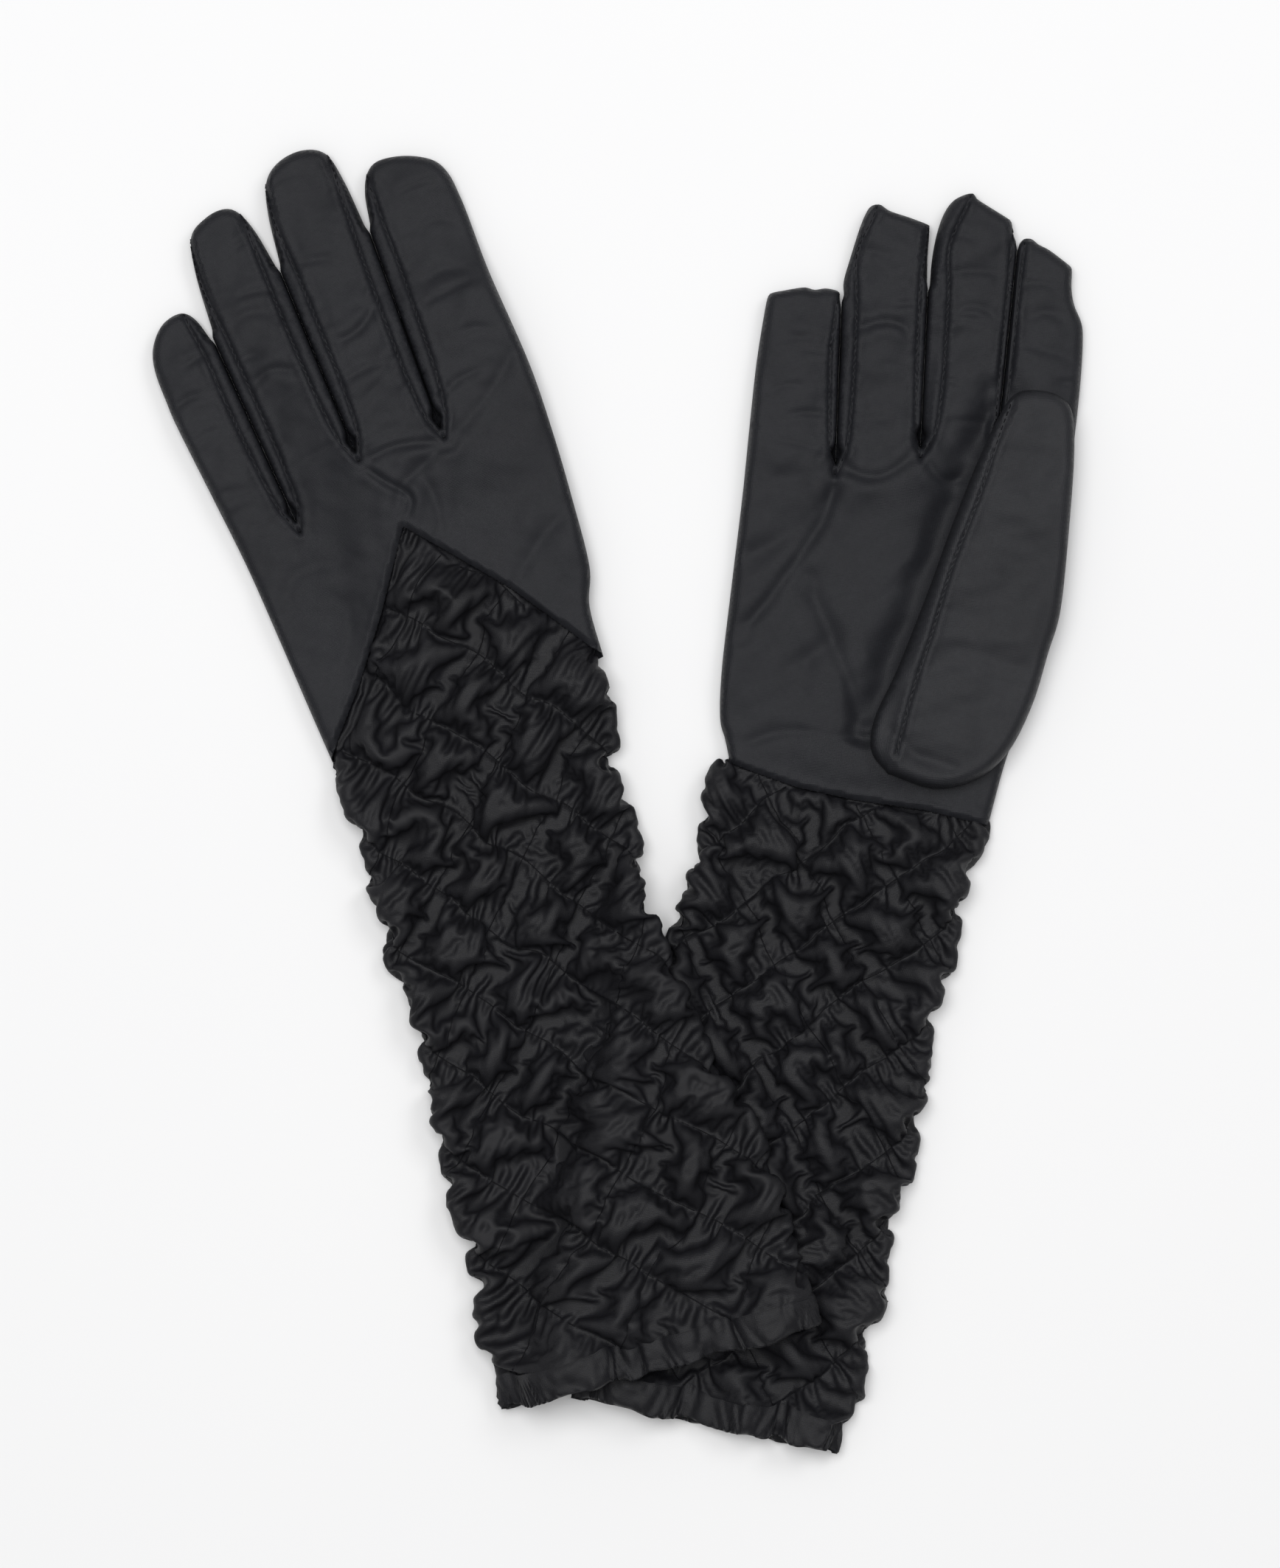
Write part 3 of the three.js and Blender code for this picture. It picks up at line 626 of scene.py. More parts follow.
def make_hand(side, materials):
    glove = GLOVES[side]
    seams = seam_paths(glove)
    flat_seams = [path for pair in seams for path in pair]
    lines = base_lines(glove)
    parts = []
    for layer, face in zip(("top", "bottom"), faces_of(glove)):
        opening = CROTCH_OPENING if layer == "top" else 0
        wrist = wrist_seam(glove, face)
        outline = hand_outline(glove, wrist, opening)
        clipped = [clip_line(line, outline) for line in lines]
        extra = groove_rows(flat_seams, outline)
        if layer == "top":
            extra += [clip_line(rim, outline, 0.2) for rim in slit_rims(glove, opening, flat_seams)]
        plan, faces = triangulate(outline, flat_seams + clipped, CELL, extra)
        edge = outline[:len(outline) - len(wrist) + 2]
        seed = {"left": 10, "right": 30}[side] + (0 if layer == "top" else 5)
        shape = hand_surface(side, layer, plan, edge, flat_seams, [wrist], seed)
        parts.append((face, plan, shape, faces if layer == "top" else faces[:, ::-1]))
    both = np.vstack([to_world(side, shape) for _, _, shape, _ in parts])
    joined = np.vstack([parts[0][3], parts[1][3] + len(parts[0][1])])
    normals = merged_normals(both, joined, 2e-5)
    collected = {}
    offset = 0
    for face, plan, _, faces in parts:
        region = hand_region(glove, seams, face, plan[faces].mean(1))
        for key in sorted(set(region)):
            collected.setdefault(key, []).append(faces[region == key] + offset)
        offset += len(plan)
    plan_all = np.vstack([parts[0][1], parts[1][1]])
    pieces = {}
    for key, lists in collected.items():
        material = materials["strip" if is_strip(key) else "hand"]
        pieces[key] = make_mesh(side + "_" + key, both, np.vstack(lists), material, normals, plan_all * MM)
    return pieces, flat_seams, parts[0][1:3]


# ---------------------------------------------------------------- the thumb

def make_thumb(side, materials):
    glove = GLOVES[side]
    thumb = glove["thumb"]
    turn = math.radians(thumb["turn"])
    c, s = math.cos(turn), math.sin(turn)
    base = np.array(thumb["base"], float)

    def placed(points):
        p = np.asarray(points, float)
        return np.column_stack([p[:, 0] * c - p[:, 1] * s, p[:, 0] * s + p[:, 1] * c]) + base

    outline = resample(placed(THUMB_OUTLINE + THUMB_OUTLINE[:1]), CELL)[:-1]
    closed = np.vstack([outline, outline[:1]])
    seam = resample(placed(THUMB_SEAM), CELL)
    plan, faces = triangulate(outline, [seam], CELL, groove_rows([seam], outline))
    distance, place, _ = nearest_on([closed], plan)
    shape, rise = rounded_edge(plan, place, distance, THUMB_ROUND)
    u, v = shape[:, 0], shape[:, 1]
    low, high = thumb["low"], thumb["high"]
    from_base = np.hypot(u - base[0], v - base[1])
    near_base = 1 - smooth(from_base, 16, 40)
    edge_z = low + 2.6 - 2.2 * near_base
    tip = 1 - 0.25 * smooth(from_base, 66, 92)
    swell = 1 - 0.12 * near_base
    wave = 0.8 * slope_noise(u, v, 30, 50) + 0.28 * slope_noise(u, v, 11, 51)
    top = edge_z + ((high - edge_z) * swell * tip + wave * smooth(distance, 2, 9)) * rise
    seam_distance, _, along = nearest_on([seam], shape)
    from_seam = np.where(u < np.interp(v, seam[:, 1], seam[:, 0]), seam_distance, 0)
    pucker = 0.5 + 0.5 * np.sin(along * 2.3 + 2 * slope_noise(u, v, 6, 52))
    if glove["top"] == "palm":
        top -= 0.95 * np.exp(-(seam_distance / 0.5) ** 2) * smooth(distance, 0.4, 1.6)
        top += (0.3 + 0.16 * pucker) * np.exp(-((seam_distance - 1.5) / 0.9) ** 2)
        top -= 1.6 * smooth(from_seam, 0.5, 6) * smooth(distance, 0.4, 3)
        for path, width, depth in THUMB_CREASES:
            d, _, _ = nearest_on([resample(placed(path), CELL)], shape)
            top -= depth * np.exp(-(d / width) ** 2) * smooth(distance, 1, 5)
    else:
        top = np.minimum(top, high)
    bottom = edge_z - (edge_z - low - 0.2 * (1 + slope_noise(u, v, 14, 53))) * rise
    both = np.vstack([to_world(side, np.column_stack([shape, z])) for z in (top, bottom)])
    below = faces[:, ::-1] + len(plan)
    normals = merged_normals(both, np.vstack([faces, below]), 2e-5)
    names = ("thumb_outer", "thumb_inner") if glove["top"] == "palm" else ("thumb_inner", "thumb_outer")
    uv = np.vstack([plan, plan]) * MM
    pieces = {}
    for name, chosen in zip(names, (faces, below)):
        pieces[name] = make_mesh(side + "_" + name, both, chosen, materials["thumb"], normals, uv)
    return pieces, [seam], (plan, np.column_stack([shape, top]))


# ---------------------------------------------------------------- the shirred sleeve

def edge_u(path, v):
    """Where an edge of the sleeve is at v."""
    points = np.asarray(sorted(path, key=lambda p: p[1]), float)
    return np.interp(v, points[:, 1], points[:, 0])


def lift_of_sleeve(side, u, v):
    """How far the left sleeve is raised by the right one and by its own thumb."""
    if side == "right":
        return np.zeros_like(u)
    a, b = np.array(CROSSING)
    along = (b - a) / np.hypot(*(b - a))
    distance = -along[1] * (u - a[0]) + along[0] * (v - a[1])
    over_sleeve = LIFT_OVER_SLEEVE * smooth(distance, -24, -4)
    return np.maximum(over_sleeve, lift_over_thumb(*sleeve_to_hand(u, v)))


def sleeve_tube(side, rows):
    """The smooth tube that the sleeve's cloth is gathered on: places and outward directions."""
    glove = GLOVES[side]
    outer = glove["sleeve_outer"] + [(-40.5, 70)]
    inner = glove["sleeve_inner"] + [(45, 70)]
    seed = SLEEVE_SEED[side]
    left = edge_u(outer, rows)[:, None] + 1.4 + 1.3 * slope_noise(0, rows, 26, seed)[:, None]
    right = edge_u(inner, rows)[:, None] - 1.4 + 1.3 * slope_noise(0, rows, 26, seed + 9)[:, None]
    b = SLEEVE_HALF_HEIGHT
    arc = math.pi * b
    straight = (right - left) - 2 * b
    whole = 2 * straight + 2 * math.pi * b
    s = (np.arange(AROUND) / AROUND)[None, :] * whole
    turn_right = math.pi / 2 - (s - straight) / b
    turn_left = -math.pi / 2 - (s - 2 * straight - arc) / b
    stretches = [s < straight, s < straight + arc, s < 2 * straight + arc, s >= 2 * straight + arc]
    u = np.select(stretches, [left + b + s, right - b + b * np.cos(turn_right),
                              right - b - (s - straight - arc), left + b + b * np.cos(turn_left)])
    nu = np.select(stretches, [0, np.cos(turn_right), 0, np.cos(turn_left)])
    nz = np.select(stretches, [1.0, np.sin(turn_right), -1.0, np.sin(turn_left)])
    z = b * nz
    v = np.repeat(rows[:, None], AROUND, axis=1)
    z = z + SLEEVE_MID_Z + lift_of_sleeve(side, u, v)
    place = np.stack([u, v, z], axis=2)
    outward = np.stack([nu, np.zeros_like(nu), nz], axis=2)
    return place, outward, whole[:, 0] / AROUND


def beyond_seam(side, face, u, v):
    """How far points of the sleeve lie beyond its seam to one face of the hand: negative short of it."""
    path = np.asarray(GLOVES[side]["v_seam" if face == "back" else "palm_seam"], float)
    hand_u, hand_v = (x.ravel() for x in sleeve_to_hand(u, v))
    dense = resample(path, 0.5, smoothing=False)
    distance, _, _ = nearest_on([dense], np.column_stack([hand_u, hand_v]))
    over = hand_v > np.interp(hand_u, path[:, 0], path[:, 1])
    return np.where(over, distance, -distance).reshape(u.shape)


def relax(cloth, place, outward, across, down, slant, held, anchor, bounds, steps, stiff):
    """Moves the cloth until its threads have their own lengths again: it buckles between the stitches."""
    rows, columns = held.shape
    diagonal = np.sqrt(across ** 2 + down ** 2)
    pairs = [((0, 1), across, 0.5), ((1, 0), down, 0.5), ((1, 1), diagonal * slant, 0.3),
             ((1, -1), diagonal / slant, 0.3)]
    for reach, share, strength in stiff:
        pairs.append(((0, reach), reach * across * share, strength))
        pairs.append(((reach, 0), reach * down * share, strength))
    for _ in range(steps):
        move = np.zeros_like(cloth)
        for (dr, dc), rest, strength in pairs:
            other = np.roll(cloth, -dc, axis=1)
            end = rows - dr
            difference = other[dr:] - cloth[:end]
            want = np.broadcast_to(rest, (rows, columns))[:end]
            length = np.sqrt((difference ** 2).sum(2)) + 1e-9
            push = difference * (strength * 0.5 * (length - want) / length)[..., None]
            move[:end] += push
            move[dr:] -= np.roll(push, dc, axis=1)
        cloth = cloth + 0.75 * move
        cloth = cloth + (held * 0.4)[..., None] * (anchor - cloth)
        offset = cloth - place
        height = (offset * outward).sum(2, keepdims=True)
        slide = offset - outward * height
        size = np.sqrt((slide ** 2).sum(2, keepdims=True)) + 1e-9
        slide *= np.minimum(1, SLIDE / size)
        cloth = place + slide + outward * np.clip(height, bounds[0][..., None], bounds[1][..., None])
    return cloth


def finer(grid, times):
    """A grid wrapped across its columns with times as many cells each way."""
    rows, columns = grid.shape[:2]
    at = np.arange((rows - 1) * times + 1) / times
    low = np.minimum(at.astype(int), rows - 2)
    t = (at - low).reshape(-1, 1, *([1] * (grid.ndim - 2)))
    grid = grid[low] * (1 - t) + grid[low + 1] * t
    at = np.arange(columns * times) / times
    low = at.astype(int)
    t = (at - low).reshape(1, -1, *([1] * (grid.ndim - 2)))
    return grid[:, low] * (1 - t) + grid[:, (low + 1) % columns] * t


def settle(place, outward, spacing, fullness, slant, lean, held, limit, seed):
    """Gathers the cloth in two passes: large puffs on a coarse net, then the finer folds between them."""
    rng = np.random.default_rng(RANDOM_SEED + seed)
    k = COARSE
    coarse_place, coarse_out = place[::k, ::k], outward[::k, ::k]
    noise = rng.normal(0, 1, coarse_place.shape[:2])
    noise = sum(np.roll(noise, (i, i * lean), (0, 1)) for i in range(3)) / 3 ** 0.5
    coarse = coarse_place + coarse_out * (0.9 * noise[..., None] + 0.6)
    coarse = coarse + rng.normal(0, 0.25, coarse_place.shape)
    anchor = place - outward * STITCH_DEPTH
    for axis in (0, 1):
        anchor[..., axis] += 1.3 * slope_noise(place[..., 0], place[..., 1], 22, seed + 20 + axis)
    low = np.where(outward[..., 2] > 0.2, -2.7, -1.5)
    across, down = spacing[:, None] * fullness[0], ROW * fullness[1]
    coarse = relax(coarse, coarse_place, coarse_out, (across * k)[::k, ::k], (down * k)[::k, ::k], slant,
                   held[::k, ::k], anchor[::k, ::k], (low[::k, ::k], limit[::k, ::k]), 220, [(2, 0.96, 0.12)])
    offset = finer(coarse - coarse_place, k)
    cloth = place + offset + outward * rng.normal(0, 0.12, (*limit.shape, 1))
    return relax(cloth, place, outward, across, down, slant, held, anchor, (low, limit), 110,
                 [(2, 0.985, 0.25), (3, 0.96, 0.12), (5, 0.90, 0.05)])


def doubled(grid, wrap):
    """Twice as many points along the first axis, on a smooth curve through the old ones."""
    if wrap:
        start = grid
        before, after, later = (np.roll(grid, shift, 0) for shift in (1, -1, -2))
    else:
        start = grid[:-1]
        padded = np.concatenate([2 * grid[:1] - grid[1:2], grid, 2 * grid[-1:] - grid[-2:-1]])
        before, after, later = padded[:-3], padded[2:-1], padded[3:]
    out = np.empty((len(grid) + len(start),) + grid.shape[1:])
    out[0::2], out[1::2] = grid, (9 * (start + after) - before - later) / 16
    return out


def doubled_both(grid):
    """A grid that is wrapped across its columns, with twice as many points each way."""
    return doubled(doubled(grid, False).swapaxes(0, 1), True).swapaxes(0, 1)


def gather(side):
    """The sleeve's cloth, gathered on its tube: a grid of points, how far each one lies beyond the seam to
    the hand, the outward directions, and the length of tube to a column in each row."""
    glove = GLOVES[side]
    hem_v = glove["sleeve_outer"][-1][1] + HEM_LENGTH
    top_v = max(p[1] for p in glove["v_seam"]) + 6
    count = COARSE * int((top_v - hem_v) / ROW / COARSE) + 1
    rows = hem_v + np.arange(count) * ROW
    place, outward, spacing = sleeve_tube(side, rows)
    u, v = place[..., 0], place[..., 1]
    lift = lift_of_sleeve(side, u, v)
    upper = place[..., 2] - lift > SLEEVE_MID_Z
    above, below = (beyond_seam(side, face, u, v) for face in faces_of(glove))
    beyond = np.where(upper, above, below)
    row = np.arange(count)[:, None]
    column = np.arange(AROUND)[None, :]
    lean = 1 if side == "left" else -1
    tight = (column + lean * row) % DIAMOND == 0
    loose = (column - lean * row) % DIAMOND == 0
    near_seam = 1 - smooth(-beyond, 0, 12)
    under = smooth(beyond, -0.3, 1.2)
    place[..., 2] -= np.where(upper, 1.5 * near_seam + 0.9 * under, 1.0 * near_seam - 0.7 * under)
    fullness = 1 + (FULLNESS - 1) * (1 - 0.55 * near_seam) * (1 - smooth(beyond, -1.5, 1.5))
    limit = 0.5 + (1 - near_seam) * np.where(upper, 4.6, 2.2)
    knots = row % KNOT == 0
    held = np.where(beyond > -0.8, 1.0, np.where(tight & knots, 1.0, np.where(tight, 0.8, 0.0)))
    held = np.where(loose & knots & (beyond <= -0.8), np.maximum(held, 0.12), held)
    held[0] = 0
    slumped = 1 + HEM_SLUMP * (1 - smooth(rows - hem_v, 10, 34))[:, None]
    cloth = settle(place, outward, spacing, (fullness / slumped, fullness * slumped), SLANT ** -lean, lean,
                   held, limit, SLEEVE_SEED[side])
    cloth[..., 2] = np.maximum(cloth[..., 2], SLEEVE_FLOOR + lift)
    return cloth, beyond, outward, spacing


def make_sleeve(side, materials):
    cloth, beyond, outward, spacing = gather(side)
    fine, fine_beyond = doubled_both(cloth), doubled_both(beyond)
    fine[..., 2] = np.maximum(fine[..., 2], 0.3)
    ring = fine[0]
    fine, fine_beyond = (np.concatenate([grid, grid[:, :1]], axis=1) for grid in (fine, fine_beyond))
    rows, columns = fine.shape[:2]
    index = np.arange(rows * columns).reshape(rows, columns)
    quads = np.stack([index[:-1, :-1], index[:-1, 1:], index[1:, 1:], index[1:, :-1]], axis=2).reshape(-1, 4)
    quads = quads[(fine_beyond.reshape(-1)[quads] < 1.6).all(1)]
    flat = fine.reshape(-1, 3)
    world = to_world(side, flat, sleeve=True)
    triangles = np.vstack([quads[:, [0, 1, 2]], quads[:, [0, 2, 3]]])
    normals = merged_normals(world, triangles, 2e-6)
    facing = quads[:, 0] % columns < columns // 2
    _, hand_v = sleeve_to_hand(flat[:, 0], flat[:, 1])
    in_hand = hand_v[quads].mean(1) > WRIST_V + 3
    back_side = facing if GLOVES[side]["top"] == "back" else ~facing
    cut_column = np.interp(np.arange(rows) / 2, np.arange(len(spacing)), spacing) * FULLNESS / 2
    cut_u = (np.arange(columns) - columns / 2)[None, :] * cut_column[:, None]
    cut_v = np.repeat(np.arange(rows) * ROW * FULLNESS / 2, columns)
    uv = np.column_stack([cut_u.ravel(), cut_v]) * MM
    pieces = {}
    for name, chosen in (("v_insert", back_side & in_hand), ("gauntlet_back", back_side & ~in_hand),
                         ("gauntlet_palm", ~back_side)):
        pieces[name] = make_mesh(side + "_" + name, world, quads[chosen], materials["sleeve"], normals, uv)
    pieces["hem_band"] = make_hem(side, ring, outward[0], materials)
    pieces["elastic_threads"] = make_threads(side, cloth, beyond, outward, materials)
    return pieces


def make_hem(side, ring, outward, materials):
    """The turned hem: the cloth runs down, folds inwards and runs back up inside."""
    count = len(ring)
    directions = doubled(outward, True)
    directions /= np.linalg.norm(directions, axis=1, keepdims=True)
    soft = ring.copy()
    for _ in range(12):
        soft = (np.roll(soft, 1, 0) + 2 * soft + np.roll(soft, -1, 0)) / 4
    rng = np.random.default_rng(RANDOM_SEED + 90)
    angle = np.arange(count) / count * 2 * math.pi
    wave = sum(rng.uniform(0.2, 0.5) * np.sin(k * angle + rng.uniform(0, 6.28)) for k in (5, 9, 14, 19))
    profile = [(-1.2, 0.1), (-0.4, 0.5), (0.8, 0.6), (2.4, 0.75), (4.2, 0.8), (6, 0.7), (7.3, 0.45),
               (7.9, 0.0), (7.3, -0.45), (5.5, -0.6), (3, -0.6), (0.5, -0.7), (-1.2, -0.9)]
    rings = []
    for down, out in profile:
        share = np.clip(down / 8, 0, 1)
        body = ring + (soft - ring) * min(1, share * 2) * 0.8
        along_cloth = body[:, 1] - 2.4 * down + 9 * body[:, 2]
        crumple = 1.3 * share ** 0.5 * slope_noise(body[:, 0], along_cloth, 10, 90)
        level = body + directions * (out + wave * share * 0.5 + crumple)[:, None]
        level[:, 1] -= down * (1 + 0.10 * wave)
        level[:, 2] = np.maximum(level[:, 2], 0.3 + 0.1 * (1 - out))
        rings.append(level)
    quads = wrapped_quads(len(profile), count)
    world = to_world(side, np.vstack(rings), sleeve=True)
    step = np.linalg.norm(np.diff(ring, axis=0, append=ring[:1]), axis=1).mean()
    turned = np.concatenate([[0], np.cumsum(np.hypot(*np.diff(profile, axis=0).T))])
    uv = np.column_stack([np.tile(np.arange(count) * step, len(profile)), np.repeat(turned, count)]) * MM
    return make_mesh(side + "_hem_band", world, quads, materials["sleeve"], None, uv)


def thread_tube(path, radius, sides):
    """A round thread along a path, with closed ends."""
    tangent = np.gradient(path, axis=0)
    tangent /= np.linalg.norm(tangent, axis=1, keepdims=True) + 1e-12
    side_way = np.cross(tangent, (0, 0, 1.0))
    side_way /= np.linalg.norm(side_way, axis=1, keepdims=True) + 1e-9
    upward = np.cross(side_way, tangent)
    angles = np.arange(sides) / sides * 2 * math.pi
    rings = [path + radius * (math.cos(a) * side_way + math.sin(a) * upward) for a in angles]
    vertices = np.stack(rings, axis=1).reshape(-1, 3)
    quads = wrapped_quads(len(path), sides)
    ends = np.vstack([vertices, path[:1], path[-1:]])
    count = len(vertices)
    around = [(k, (k + 1) % sides) for k in range(sides)]
    first = [(b, a, count) for a, b in around]
    last = [(count - sides + a, count - sides + b, count + 1) for a, b in around]
    triangles = np.vstack([quads[:, [0, 1, 2]], quads[:, [0, 2, 3]], first, last])
    return ends, triangles


def joined_tubes(paths, radius):
    """The vertices and faces of a thread along each path."""
    vertices, faces, count = [], [], 0
    for path in paths:
        v, f = thread_tube(path, radius, THREAD_SIDES)
        vertices.append(v)
        faces.append(f + count)
        count += len(v)
    return np.vstack(vertices), np.vstack(faces)


def make_threads(side, cloth, beyond, outward, materials):
    """The elastic threads, each in a stitched furrow of the lattice."""
    rows, columns = beyond.shape
    paths = []
    for first in range(0, columns, DIAMOND):
        for direction in (1, -1):
            row = np.arange(rows)
            column = (first + direction * row) % columns
            line = cloth[row, column] + outward[row, column] * ELASTIC_RISE
            good = beyond[row, column] < -0.6
            start = 0
            for stop in list(np.flatnonzero(~good)) + [rows]:
                if stop - start > 6:
                    paths.append(to_world(side, line[start:stop], sleeve=True))
                start = stop + 1
    vertices, faces = joined_tubes(paths, ELASTIC_RADIUS * MM)
    return make_mesh(side + "_elastic_threads", vertices, faces, materials["thread"])


# ---------------------------------------------------------------- stitches

def seam_stitches(side, paths, surface, owner):
    """Short raised stitches along the seams, sorted by the body of the glove that they hold."""
    plan, shape = surface
    made = {}
    for path in paths:
        steps = resample(path, STITCH_PITCH, smoothing=False)
        ahead = steps[1:] - steps[:-1]
        for start, way in zip(steps[:-1], ahead):
            ends = np.array([start + way * 0.2, start + way * 0.5, start + way * 0.8])
            nearest = ((plan[None] - ends[:, None]) ** 2).sum(2).argmin(1)
            points = shape[nearest].copy()
            points[:, :2] = shape[nearest, :2] + (ends - plan[nearest])
            points[:, 2] += [-0.1, 0.02, -0.1]
            made.setdefault(owner(*start), []).append(to_world(side, points))
    return made


def hand_owner(glove):
    """A function that names the part of the hand at (u, v): a finger, or the hand itself."""
    def owner(u, v):
        finger = sum(int(u > slit_u(glove, k, v)) for k in range(3))
        return FINGERS[finger] if v > glove["base"][finger] else "hand"
    return owner


# ---------------------------------------------------------------- materials

def node_maker(owner):
    """The nodes and links of a new material or world, and a function that adds a node to them."""
    owner.use_nodes = True
    nodes, links = owner.node_tree.nodes, owner.node_tree.links

    def add(kind, inputs=None, **settings):
        node = nodes.new(kind)
        for key, value in settings.items():
            setattr(node, key, value)
        for key, value in (inputs or {}).items():
            if isinstance(value, bpy.types.NodeSocket):
                links.new(value, node.inputs[key])
            else:
                node.inputs[key].default_value = value
        return node
    return nodes, links, add


def cloth_material(name, dark, light, roughness, gloss, wales=900.0, wale_depth=0.25, fuzz_depth=0.3):
    """A smooth dark cloth: a fine close weave, a slightly uneven dye, and a soft surface fuzz."""
    material = bpy.data.materials.new(name)
    nodes, links, add = node_maker(material)
    shader = nodes["Principled BSDF"]
    coordinates = add("ShaderNodeTexCoord").outputs["UV"]
    patches = add("ShaderNodeTexNoise", {"Vector": coordinates, "Scale": 26.0, "Detail": 4.0,
                                         "Roughness": 0.6})
    fuzz = add("ShaderNodeTexNoise", {"Vector": coordinates, "Scale": 2600.0, "Detail": 3.0,
                                      "Roughness": 0.65})
    lint = add("ShaderNodeTexNoise", {"Vector": coordinates, "Scale": 620.0, "Detail": 2.0})
    knit = add("ShaderNodeTexWave", {"Vector": coordinates, "Scale": wales, "Distortion": 1.2, "Detail": 1.0,
                                     "Detail Scale": 2.0}, wave_type="BANDS", bands_direction="X")
    courses = add("ShaderNodeTexWave", {"Vector": coordinates, "Scale": wales * 0.8, "Distortion": 1.6,
                                        "Detail": 1.0}, wave_type="BANDS", bands_direction="Y")
    weave = add("ShaderNodeMath", {0: knit.outputs["Fac"], 1: courses.outputs["Fac"]}, operation="MULTIPLY")
    tone = add("ShaderNodeMath", {0: patches.outputs["Fac"], 1: 0.6}, operation="MULTIPLY")
    speckle = add("ShaderNodeMath", {0: lint.outputs["Fac"], 1: 0.35, 2: tone.outputs[0]},
                  operation="MULTIPLY_ADD")
    thread_tone = add("ShaderNodeMath", {0: weave.outputs[0], 1: 0.22, 2: speckle.outputs[0]},
                      operation="MULTIPLY_ADD")
    colour = add("ShaderNodeMixRGB", {"Fac": thread_tone.outputs[0], "Color1": (*dark, 1),
                                      "Color2": (*light, 1)})
    links.new(colour.outputs[0], shader.inputs["Base Color"])
    relief = add("ShaderNodeBump", {"Height": weave.outputs[0], "Strength": wale_depth, "Distance": 0.0003})
    soft = add("ShaderNodeBump", {"Height": fuzz.outputs["Fac"], "Normal": relief.outputs["Normal"],
                                  "Strength": fuzz_depth, "Distance": 0.0003})
    links.new(soft.outputs["Normal"], shader.inputs["Normal"])
    shader.inputs["Roughness"].default_value = roughness
    shader.inputs["Specular IOR Level"].default_value = gloss
    return material


def floor_material():
    material = bpy.data.materials.new("pale_floor")
    nodes, links, add = node_maker(material)
    shader = nodes["Principled BSDF"]
    coordinates = add("ShaderNodeTexCoord").outputs["Object"]
    cloudy = add("ShaderNodeTexNoise", {"Vector": coordinates, "Scale": 3.0, "Detail": 2.0})
    colour = add("ShaderNodeMixRGB", {"Fac": cloudy.outputs["Fac"], "Color1": (0.90, 0.90, 0.905, 1),
                                      "Color2": (0.93, 0.93, 0.93, 1)})
    links.new(colour.outputs[0], shader.inputs["Base Color"])
    shader.inputs["Roughness"].default_value = 0.9
    return material


# ---------------------------------------------------------------- putting the gloves together

def fold_ends(side, finger):
    """The points before and after a finger's fold, between which its cloth bends."""
    glove = GLOVES[side]
    i = FINGERS.index(finger)
    v = glove["fold"][i]
    left = float(slit_u(glove, i - 1, v)) if i else -45
    right = float(slit_u(glove, i, v)) if i < 3 else 52
    middle = 0.5 * (left + right)
    ends = to_world(side, [(middle, v - FOLD_REACH, 4), (middle, v + FOLD_REACH, 4)])
    return [tuple(p) for p in ends]


def wrist_ends(side):
    ends = to_world(side, [(0, WRIST_V - 19, 4), (0, WRIST_V, 4)])
    return [tuple(p) for p in ends]


def attach(side, key, piece):
    """Makes a piece move with the glove: with the hand, its thumb, or its gauntlet (the hem); a finger's
    pieces, the gauntlet and the elastic threads only have their transforms baked.
    """
    finger = next((name for name in FINGERS if key.startswith(name)), None)
    hand = side + "_hand"
    if finger:
        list(fold_ends(side, finger))
        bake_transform(piece)
    elif key.startswith("thumb"):
        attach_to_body(piece, side + "_thumb")
    elif key.startswith(("gauntlet", "elastic")):
        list(wrist_ends(side))
        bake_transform(piece)
    elif key.startswith("hem"):
        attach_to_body(piece, side + "_gauntlet")
    else:
        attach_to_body(piece, hand)


def slot_of(key):
    if key.startswith("thumb"):
        return "thumb_cloth"
    if is_strip(key):
        return "fourchette_cloth"
    if key.startswith("hem"):
        return "hem_cloth"
    if key.startswith(("gauntlet", "v_insert", "elastic")):
        return "shirred_cloth"
    return "smooth_cloth"


def cut_size(piece):
    """A piece of cloth's flat area, width and length in metres, from its UVs, which are its cut pattern."""
    mesh = piece.data
    mesh.calc_loop_triangles()
    uv = np.empty(len(mesh.loops) * 2, np.float32)
    mesh.uv_layers[0].data.foreach_get("uv", uv)
    uv = uv.reshape(-1, 2).astype(float)
    triangles = np.empty(len(mesh.loop_triangles) * 3, np.int32)
    mesh.loop_triangles.foreach_get("loops", triangles)
    a, b, c = (uv[triangles.reshape(-1, 3)[:, k]] for k in range(3))
    area = np.abs((b - a)[:, 0] * (c - a)[:, 1] - (b - a)[:, 1] * (c - a)[:, 0]).sum() / 2
    width, length = np.ptp(uv, axis=0)
    return float(area), float(width), float(length)


def is_strip(key):
    return "strip" in key or "fourchette" in key


def declare_sheet(key, piece):
    area, width, length = cut_size(piece)
    max(0.31 * width * length, min(area, width * length))


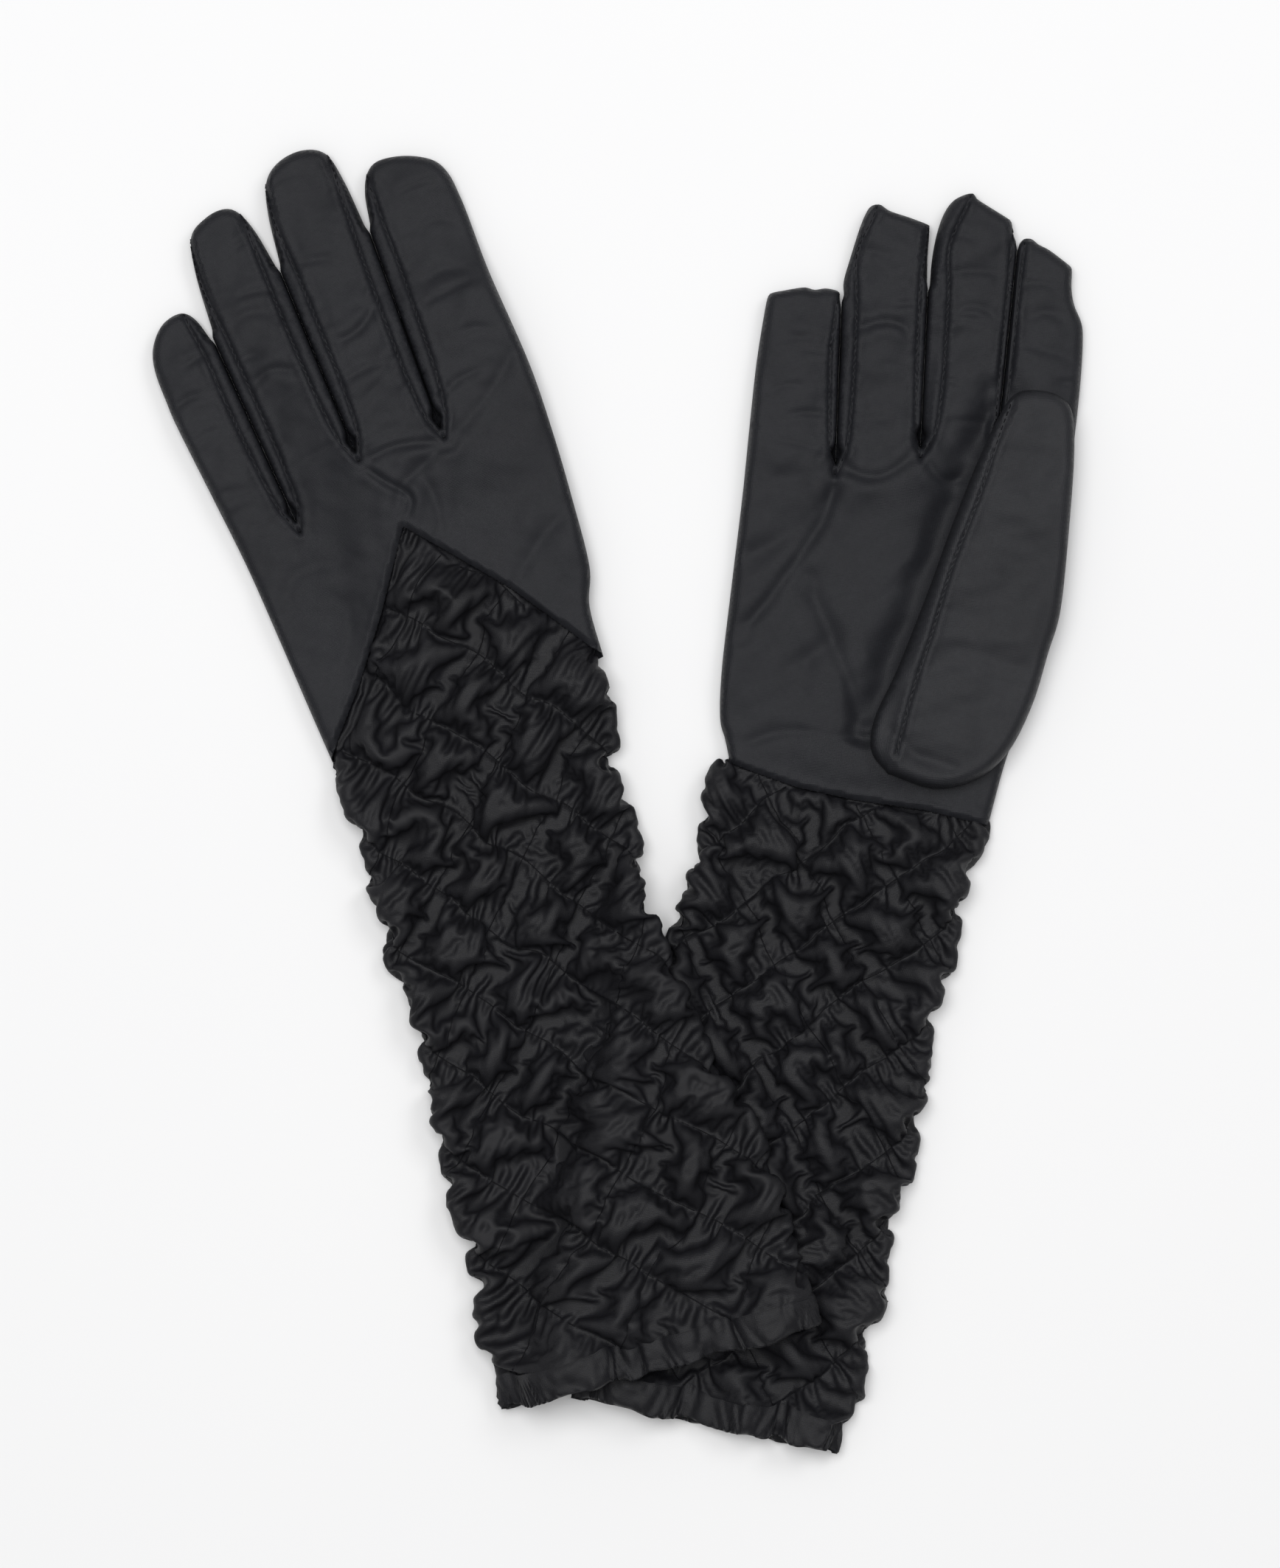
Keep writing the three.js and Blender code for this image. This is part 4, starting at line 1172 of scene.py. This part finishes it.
def make_glove(side, materials):
    glove = GLOVES[side]
    hand, seams, hand_top = make_hand(side, materials)
    thumb, thumb_seams, thumb_top = make_thumb(side, materials)
    pieces = {**hand, **thumb, **make_sleeve(side, materials)}
    stitches = seam_stitches(side, seams + [wrist_seam(glove, glove["top"])], hand_top, hand_owner(glove))
    if glove["top"] == "palm":
        stitches.update(seam_stitches(side, thumb_seams, thumb_top, lambda u, v: "thumb"))
    for owner, paths in stitches.items():
        key = owner + "_stitches"
        vertices, faces = joined_tubes(paths, STITCH_RADIUS * MM)
        pieces[key] = make_mesh(side + "_" + key, vertices, faces, materials["thread"])
    for key, piece in pieces.items():
        is_cloth = not key.endswith(("stitches", "threads"))
        piece.name = side + "_" + key + ("_cloth" if is_cloth else "")
        attach(side, key, piece)
        slot_of(key)
        if is_cloth:
            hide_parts(*[side + "_" + node for node in REPLACED.get(key, [key])])
        if is_cloth and not is_strip(key):
            declare_sheet(key, piece)


cloth = {
    "hand": cloth_material("smooth_cloth", (0.006, 0.006, 0.008), (0.020, 0.021, 0.025), 0.55, 0.22),
    # The fourchette strips are the hand's own cloth, painted a little lighter as painted light, to offset the
    # shade beside the slits.
    "strip": cloth_material("fourchette_cloth", (0.006, 0.006, 0.008), (0.021, 0.022, 0.026), 0.56, 0.2),
    # The thumb is the hand's own cloth, painted lighter as a painted highlight, as if it tilts towards the
    # light.
    "thumb": cloth_material("thumb_cloth", (0.008, 0.008, 0.010), (0.024, 0.025, 0.029), 0.55, 0.25),
    # The sleeve is the hand's own cloth, painted darker as painted shade, to deepen the shade in its gathered
    # folds.
    "sleeve": cloth_material("shirred_cloth", (0.004, 0.004, 0.005), (0.013, 0.013, 0.016), 0.5, 0.25),
    "thread": cloth_material("thread", (0.003, 0.003, 0.004), (0.008, 0.008, 0.010), 0.6, 0.1, 1500.0, 0.2,
                             0.2),
}
for side in GLOVES:
    make_glove(side, cloth)


# ---------------------------------------------------------------- floor, light and camera

def make_floor():
    mesh = bpy.data.meshes.new("floor")
    corners = [(-FLOOR, -FLOOR, 0), (FLOOR, -FLOOR, 0), (FLOOR, FLOOR, 0), (-FLOOR, FLOOR, 0)]
    mesh.from_pydata(corners, [], [(0, 1, 2, 3)])
    mesh.materials.append(floor_material())
    floor = bpy.data.objects.new("floor", mesh)
    bpy.context.collection.objects.link(floor)


def make_light(name, place, target, size, power):
    data = bpy.data.lights.new(name, "AREA")
    data.shape = "RECTANGLE"
    data.size, data.size_y = size
    data.energy = power
    light = bpy.data.objects.new(name, data)
    light.location = place
    light.rotation_mode = "QUATERNION"
    light.rotation_quaternion = (Vector(target) - Vector(place)).to_track_quat("-Z", "Y")
    bpy.context.collection.objects.link(light)


def make_world(strength):
    """Soft light that is brightest from straight above and falls off towards the horizon."""
    world = bpy.data.worlds.new("studio")
    nodes, links, add = node_maker(world)
    direction = add("ShaderNodeTexCoord").outputs["Generated"]
    upward = add("ShaderNodeSeparateXYZ", {0: direction}).outputs["Z"]
    ramp = add("ShaderNodeValToRGB", {"Fac": upward})
    ramp.color_ramp.elements[0].color = (0.10, 0.10, 0.105, 1)
    ramp.color_ramp.elements[1].color = (1.0, 1.0, 1.0, 1)
    links.new(ramp.outputs["Color"], nodes["Background"].inputs["Color"])
    nodes["Background"].inputs["Strength"].default_value = strength
    bpy.context.scene.world = world


def make_camera():
    """Straight above the gloves, far off with a long lens, taking in VIEW_HEIGHT of floor."""
    data = bpy.data.cameras.new("camera")
    data.sensor_width = SENSOR
    data.lens = SENSOR * CAMERA_HEIGHT / VIEW_HEIGHT
    data.clip_start, data.clip_end = 0.1, 20.0
    camera = bpy.data.objects.new("camera", data)
    camera.location = (*VIEW_CENTRE, CAMERA_HEIGHT)
    bpy.context.collection.objects.link(camera)
    bpy.context.scene.camera = camera


bpy.context.scene.view_settings.view_transform = "Standard"
make_floor()
make_world(0.55)
make_light("overhead", (-0.25, 0.35, 2.2), (0, 0, 0), (1.3, 1.3), 31)
make_light("key", (1.1, 0.9, 1.7), (0, 0, 0), (0.8, 0.8), 7)
make_camera()
